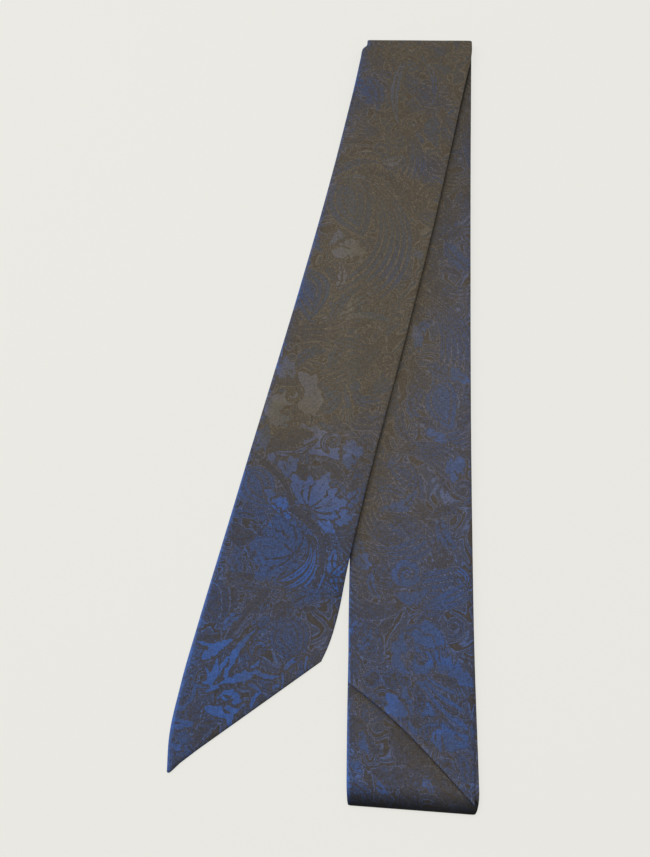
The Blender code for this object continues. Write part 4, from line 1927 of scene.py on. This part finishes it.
def loose_point() -> list[Motif]:
    """A ragged leaf spray on the loose stretch's long point.

    Returns:
        The motifs, each over those before it.
    """
    return [
        Leaf(1, 319.1, 13.6, 8, 0.05, lobes=2),
        Leaf(2, 326.5, 14.4, -20, 0.05, width=0.24, lobes=2),
        Leaf(6, 346.1, 28.7, 4, 0.35, width=0.11, bend=0.1, lobes=6),
        Leaf(58, 343.5, 24, 140, 0.5, width=0.18, lobes=5),
        Paisley(2, 350.6, 23.6, 60, 0.25, width=0.36, bend=0.15, pitch=3.4),
        Patch(42, 367, 9, 20, 0.6, seed=30),
        Leaf(40, 352, 24, 60, 0.3, bend=0.2, lobes=5),
        Stem(28, 351.4, 47, 107, 0, bend=0.08, heft=1.8),
        Leaf(20, 363.8, 13, 122, 0.9, lobes=3),
        Leaf(16, 400, 30, 128, 0.35, width=0.12, bend=0.1),
        Leaf(24, 414, 22, 126, 0.3, width=0.12, bend=0.12, lobes=5),
        Paisley(42, 360, 24, 60, 0.5, width=0.42, bend=0.1, pitch=2.6, heft=0.9),
        Mass(
            right=14, down=384, size=17, tone=1,
            parts=(
                Leaf(6.5, 391, 19, -48, width=0.15, bend=-0.04, lobes=5),
                Leaf(1, 382.5, 15, -8, width=0.07, bend=0.1, lobes=3),
            ),
            cuts=(Leaf(13.5, 385.5, 3, -50, width=0.3),),
        ),
        Mass(
            right=24, down=396, size=40, tone=0.95,
            parts=(
                Leaf(12.5, 406, 18, -86, width=0.12, bend=0.06, lobes=5, notch=0.4),
                Leaf(12, 405, 13, -108, width=0.07, lobes=2),
                Leaf(19.5, 398, 31, -72, width=0.065, bend=-0.08, lobes=6),
                Leaf(17.5, 399, 20, -66, width=0.09, bend=-0.16, lobes=5),
                Leaf(18.5, 399.5, 22, -46, width=0.14, lobes=5),
                Leaf(29, 387, 18, 4, width=0.08, bend=0.2, lobes=5, notch=0.4),
                Leaf(9, 402, 23.5, 14, bend=-0.06, lobes=5),
                Leaf(13, 413.5, 20, -22, width=0.15, lobes=5),
                Leaf(26, 409.5, 11.5, 82, width=0.18, lobes=2),
                Leaf(13, 413, 11, 2, width=0.1, bend=-0.1, lobes=3),
            ),
            cuts=(
                Leaf(9, 411.5, 17, -42, width=0.13, bend=0.05, lobes=2, notch=0.1),
                slit(19, 409, 8, -28, 0.14),
                slit(20.5, 405.2, 5, -12, 0.18),
                slit(26, 410, 7.5, -52, 0.12),
                slit(21.5, 411.5, 4.5, 12, 0.2),
                slit(17, 401.5, 13, -24, 0.13, 0.1),
                slit(14.5, 402, 11, -74, 0.12),
                slit(20.5, 394, 10, -66, 0.15, 0.1),
                slit(23, 393.5, 8, -56, 0.1, -0.1),
                slit(26, 391, 8, -60, 0.17),
                slit(28.5, 391, 6, -40, 0.12),
                slit(18, 393, 7, -84, 0.1),
                slit(23, 384, 11, -72, 0.13),
            ),
        ),
        Mass(
            right=36, down=402, size=16, tone=0.9,
            parts=(
                Leaf(30.5, 397, 9, 22, width=0.14, bend=-0.1, lobes=3),
                Leaf(37.5, 399, 12, 100, width=0.1),
            ),
        ),
        Leaf(46, 387.1, 15.1, -48, 1, width=0.09, bend=-0.12, lobes=3),
        Stem(56, 377, 8, 72, 0.95, bend=0.1, heft=0.8),
        Stem(46, 388, 11, 84, 0.9, bend=-0.1, heft=0.7),
        Scroll(32.5, 379.1, 4.9, 100, 1, windings=1.5, heft=0.2),
        Mass(
            right=5, down=412, size=16, tone=0.8,
            parts=(
                Leaf(4.5, 402.5, 8.5, 4, width=0.1, lobes=3),
                Leaf(6.5, 403, 15, 108, width=0.08, bend=-0.16, lobes=3),
                Leaf(0, 416.5, 6, -20, width=0.26, lobes=2),
            ),
        ),
        Patch(4, 423.5, 5.4, -40, 0.85, seed=47),
        Patch(3.5, 434.5, 2.8, 40, 0.8, seed=49),
    ]


def under_top() -> list[Motif]:
    """Feathery hatch in the under stretch's upper wedge, with leaves and parallel ribbons below it.

    Returns:
        The motifs, each over those before it.
    """
    return [
        Plume(62, 49.4, 72.4, 96, 0.5, ribbons=4, radius=70, pitch=3.6),
        Plume(60, 116.5, 56.1, 120, 0.45, True, radius=60, pitch=3.2),
        Leaf(50, 141.7, 28.2, 40, 0.55, lobes=5),
        Plume(34, 176.8, 62.5, 20, 0.55, True, ribbons=6, radius=36, pitch=3.6),
        Leaf(40, 219.1, 24.3, 10, 0.5, width=0.22, lobes=5),
        Paisley(50, 229.2, 28.4, 80, 0.6, bend=0.14),
        Patch(58, 225.2, 7.1, 60, 0.8, seed=2),
        Patch(46, 261.2, 6.9, 30, 0.75, seed=4),
        Plume(22, 268.9, 43.4, -10, 0.45, True, pitch=3.2),
        Patch(56, 278.6, 8.7, 80, 0.85, seed=7),
        Leaf(14, 303.1, 24.9, -30, 0.75, width=0.16, bend=0.2, lobes=5),
        Plume(14, 306.8, 44.5, -8, 0.5, True, ribbons=4, radius=26),
        Plume(8, 322, 40, 34, 0.6, ribbons=3, radius=26, pitch=4.4, heft=0.34),
        Leaf(4, 317.9, 16.8, 60, 0.8),
        Scroll(55, 318.8, 5.2, 30, 0.6, windings=1.2, heft=0.22),
        Leaf(48, 306.8, 18.8, 60, 0.6, width=0.24),
        Scroll(58, 339.5, 7.7, 180, 0.9, windings=1.4, heft=0.2),
        Plume(10, 341.2, 51.1, 14, 0.6, radius=90, pitch=3.6),
        Plume(30, 353, 36.2, 4, 0.7, ribbons=3, radius=50),
    ]


def under_blossoms() -> list[Motif]:
    """Layered blossoms with curls and ribbons, towards the under stretch's slanted end.

    Returns:
        The motifs, each over those before it.
    """
    return [
        Mass(
            right=30, down=338, size=16, tone=0.66,
            parts=(
                Rosette(30, 337, 8, petals=5),
                Leaf(24, 347, 19, -14, bend=0.25, lobes=3),
            ),
            cuts=(
                Scroll(31, 337, 5.4, 120, windings=1.4, heft=0.26),
                slit(25, 343, 12, -10, 0.07, 0.2),
            ),
        ),
        Patch(7, 331, 6.5, 80, 0.85, seed=81),
        Leaf(12, 336, 15, 70, 0.8, width=0.16, bend=0.2, lobes=3),
        Leaf(8, 360, 22, 108, 0.85, width=0.13),
        Paisley(8, 363.1, 21.4, 62, 0.35, width=0.38, bend=0.1, pitch=2.8, heft=0.9),
        Plume(22, 372, 44, -58, 0.8, True, ribbons=2, radius=15, pitch=4.6),
        Mass(
            right=52, down=392, size=34, tone=0.75,
            parts=(
                Leaf(40, 360, 33, 58, width=0.26, lobes=3, notch=0.25),
                Leaf(37, 389, 38, 48, width=0.4, lobes=3, notch=0.2),
                Leaf(44, 412, 20, 22, width=0.28, lobes=3, notch=0.3),
                Patch(60, 388, 8, 70, seed=74),
            ),
            cuts=(
                Plume(38, 388, 38, 50, ribbons=4, radius=52, pitch=6.6, heft=0.33),
                Scroll(61.5, 373, 6.5, 200, heft=0.22),
                Scroll(50, 376, 5.2, 90, windings=1.5, heft=0.26),
                Leaf(58, 380, 9, 20, width=0.3, lobes=3),
                slit(50, 384.5, 7, 60, 0.2),
                slit(55, 415, 5.5, 30, 0.2),
            ),
        ),
        Mass(
            right=34.5, down=378, size=18, tone=0.78,
            parts=(Rosette(34.5, 377.5, 12.6, petals=9),),
            cuts=(
                Leaf(29, 366.5, 19, 44, width=0.15, bend=0.08, lobes=3),
                Mass(
                    right=37.8, down=381, size=10,
                    parts=(Rosette(37.8, 381, 8.8),),
                    cuts=(Rosette(37.8, 381, 6.6),),
                ),
                Scroll(37.5, 380, 5.8, 120, windings=1.5, heft=0.26),
                slit(28, 376, 9, 62, 0.14),
            ),
        ),
        Rosette(23, 390, 5, 0, 0.5, petals=6),
        Rosette(12.5, 390, 4.6, 0, 0.6, petals=6),
        Rosette(29.5, 391, 3.2, 0, 0.6, petals=5),
        Mass(
            right=27, down=401, size=16, tone=0.85,
            parts=(
                Leaf(20, 397, 15, 40, width=0.34, lobes=3, notch=0.3),
                Leaf(28, 396, 8, 40, width=0.3, lobes=2),
                Leaf(30, 393, 6, 80, width=0.26, lobes=2),
            ),
            cuts=(slit(25.5, 399, 8, -4, 0.09, 0.16),),
        ),
        Leaf(36, 393, 15, 96, 0.35, bend=-0.12, lobes=3),
        Leaf(32, 409, 14, -4, 0.15, lobes=3),
        Paisley(37, 416, 12, -30, 0.5, width=0.42, pitch=2.6, heft=0.8),
        Patch(46, 418, 5.5, 60, 0.9, seed=76),
        Paisley(44, 430, 16, 4, 0.4, pitch=2.6, heft=0.8),
        Leaf(56, 424, 15, 80, 0.55, bend=-0.2, lobes=3),
        Rosette(51, 430.5, 3.6, 0, 0.5, petals=5),
        Leaf(2, 377, 16, -50, 0.7, width=0.16, lobes=3),
        Leaf(8, 395, 14, 30, 0.5),
    ]


def layer_leaves() -> list[Motif]:
    """Flat leaves in thin outline, and a few bright islands, on the layer below the slanted end.

    Returns:
        The motifs, each over those before it.
    """
    return [
        Leaf(3, 409.1, 22.4, 50, 0.15, width=0.26, bend=0.2, lobes=3),
        Leaf(22, 414, 18.5, 80, 0.1, width=0.3, bend=-0.2, lobes=3),
        Patch(8, 422, 5, 70, 0.8, seed=51),
        Patch(5, 433.1, 4, 20, 0.7, seed=52),
        Leaf(12, 434.6, 19.9, -10, 0.15, width=0.28, bend=0.25, lobes=3),
        Rosette(34, 427.6, 6.9, 0, 0.15, petals=5),
        Leaf(30, 439.4, 21.9, 5, 0.2, width=0.24, bend=-0.2),
        Patch(40, 439.4, 4.3, 30, 0.9, seed=55),
        Patch(17, 442.5, 3.9, 30, 0.85, seed=56),
        Leaf(44, 434.6, 17.1, 40, 0.15, width=0.26, lobes=3),
    ]


# Painted sheen of each stretch: rows of blueness, bluer spots, and brightness levels along it
LOOSE_SHEEN = Sheen(
    rows=(
        (-6.6, 0.35, 0.1, 0.0),
        (8.4, 0.2, 0.0, -0.05),
        (37.5, 0.3, 0.05, 0.15),
        (107.2, 0.1, -0.05, 0.05),
        (216.3, 0.15, -0.05, 0.0),
        (249.0, -0.05, 0.0, 0.25),
        (266.7, -0.05, 0.3, 0.4),
        (288.3, 0.5, 0.55, 0.5),
        (316.3, 0.9, 1.0, 0.95),
        (340.0, 0.8, 0.85, 1.0),
        (355.0, 0.8, 0.8, 0.7),
        (377.0, 0.95, 0.9, 0.6),
        (410.4, 1.0, 0.95, 0.7),
        (450.1, 0.85, 0.75, 0.7),
    ),
    spots=(
        Spot(8.0, 39.9, 20.0, 0.3),
        Spot(44.0, 30.4, 20.0, 0.3),
        Spot(54.0, 84.5, 16.0, 0.3),
        Spot(3.0, 179.4, 14.0, 0.35),
        Spot(50.0, 157.5, 20.0, 0.2),
    ),
    light=(
        (60.0, 0.99),
        (118.0, 1.05),
        (226.0, 1.03),
        (253.0, 1.03),
        (275.0, 0.93),
        (300.0, 0.94),
        (330.0, 0.99),
        (450.0, 0.96),
    ),
)
UNDER_SHEEN = Sheen(
    rows=(
        (-1.2, 0.3, 0.3, 0.5),
        (109.5, 0.2, 0.3, 0.5),
        (229.2, 0.25, 0.35, 0.55),
        (306.8, 0.4, 0.5, 0.7),
        (360.0, 0.7, 0.8, 0.95),
        (450.2, 0.65, 0.8, 0.85),
    ),
    light=(
        (-1.2, 1.0),
        (109.5, 1.03),
        (176.8, 1.12),
        (240.0, 1.18),
        (288.1, 1.15),
        (351.8, 1.09),
        (400.0, 1.07),
    ),
)
LAYER_SHEEN = Sheen(
    rows=((0.0, 0.5, 0.5, 0.5), (380.0, 0.5, 0.55, 0.6), (451.0, 0.9, 0.75, 0.65)),
    light=((0.0, 1.08), (420.0, 1.1), (450.0, 1.2)),
)


@dataclass
class WildRag:
    """The three stretches of the folded strip."""

    silk: ShotJacquard = field(default_factory=ShotJacquard)

    def stretches(self) -> list[SewnTube]:
        """The two folded layers, the under stretch and the loose one, each with its drawing and its sheen.

        Returns:
            The stretches, from the lowest up.
        """
        loose = Drawing(length=446.0, seed=11, motifs=loose_top() + loose_middle() + loose_point())
        under = Drawing(length=450.0, seed=23, motifs=under_top() + under_blossoms())
        layers = Drawing(length=900.0, seed=37, motifs=layer_leaves())
        return [
            FoldedLayers("layered_silk", "folded_layers", "layer_silk", layers, LAYER_SHEEN),
            UnderStretch("under_silk", "under_stretch", "under_silk", under, UNDER_SHEEN),
            LooseStretch("loose_silk", "loose_stretch", "loose_silk", loose, LOOSE_SHEEN),
        ]

    def build(self) -> None:
        material = self.silk.build()
        centre = rag_centre()
        for stretch in self.stretches():
            piece = stretch.build(centre)
            piece.data.materials.append(material)
            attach(piece, "root")
            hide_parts(stretch.node)
            longest, mean = stretch.lengths()
            LOG.info("%s: %d faces, cut %.0f mm long", piece.name, len(piece.data.polygons), longest)


def main() -> None:
    """Load the frame, set up the studio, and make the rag."""
    logging.basicConfig(level=logging.INFO, format="%(name)s: %(message)s")
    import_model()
    Studio().build()
    WildRag().build()


if __name__ == "__main__":
    main()
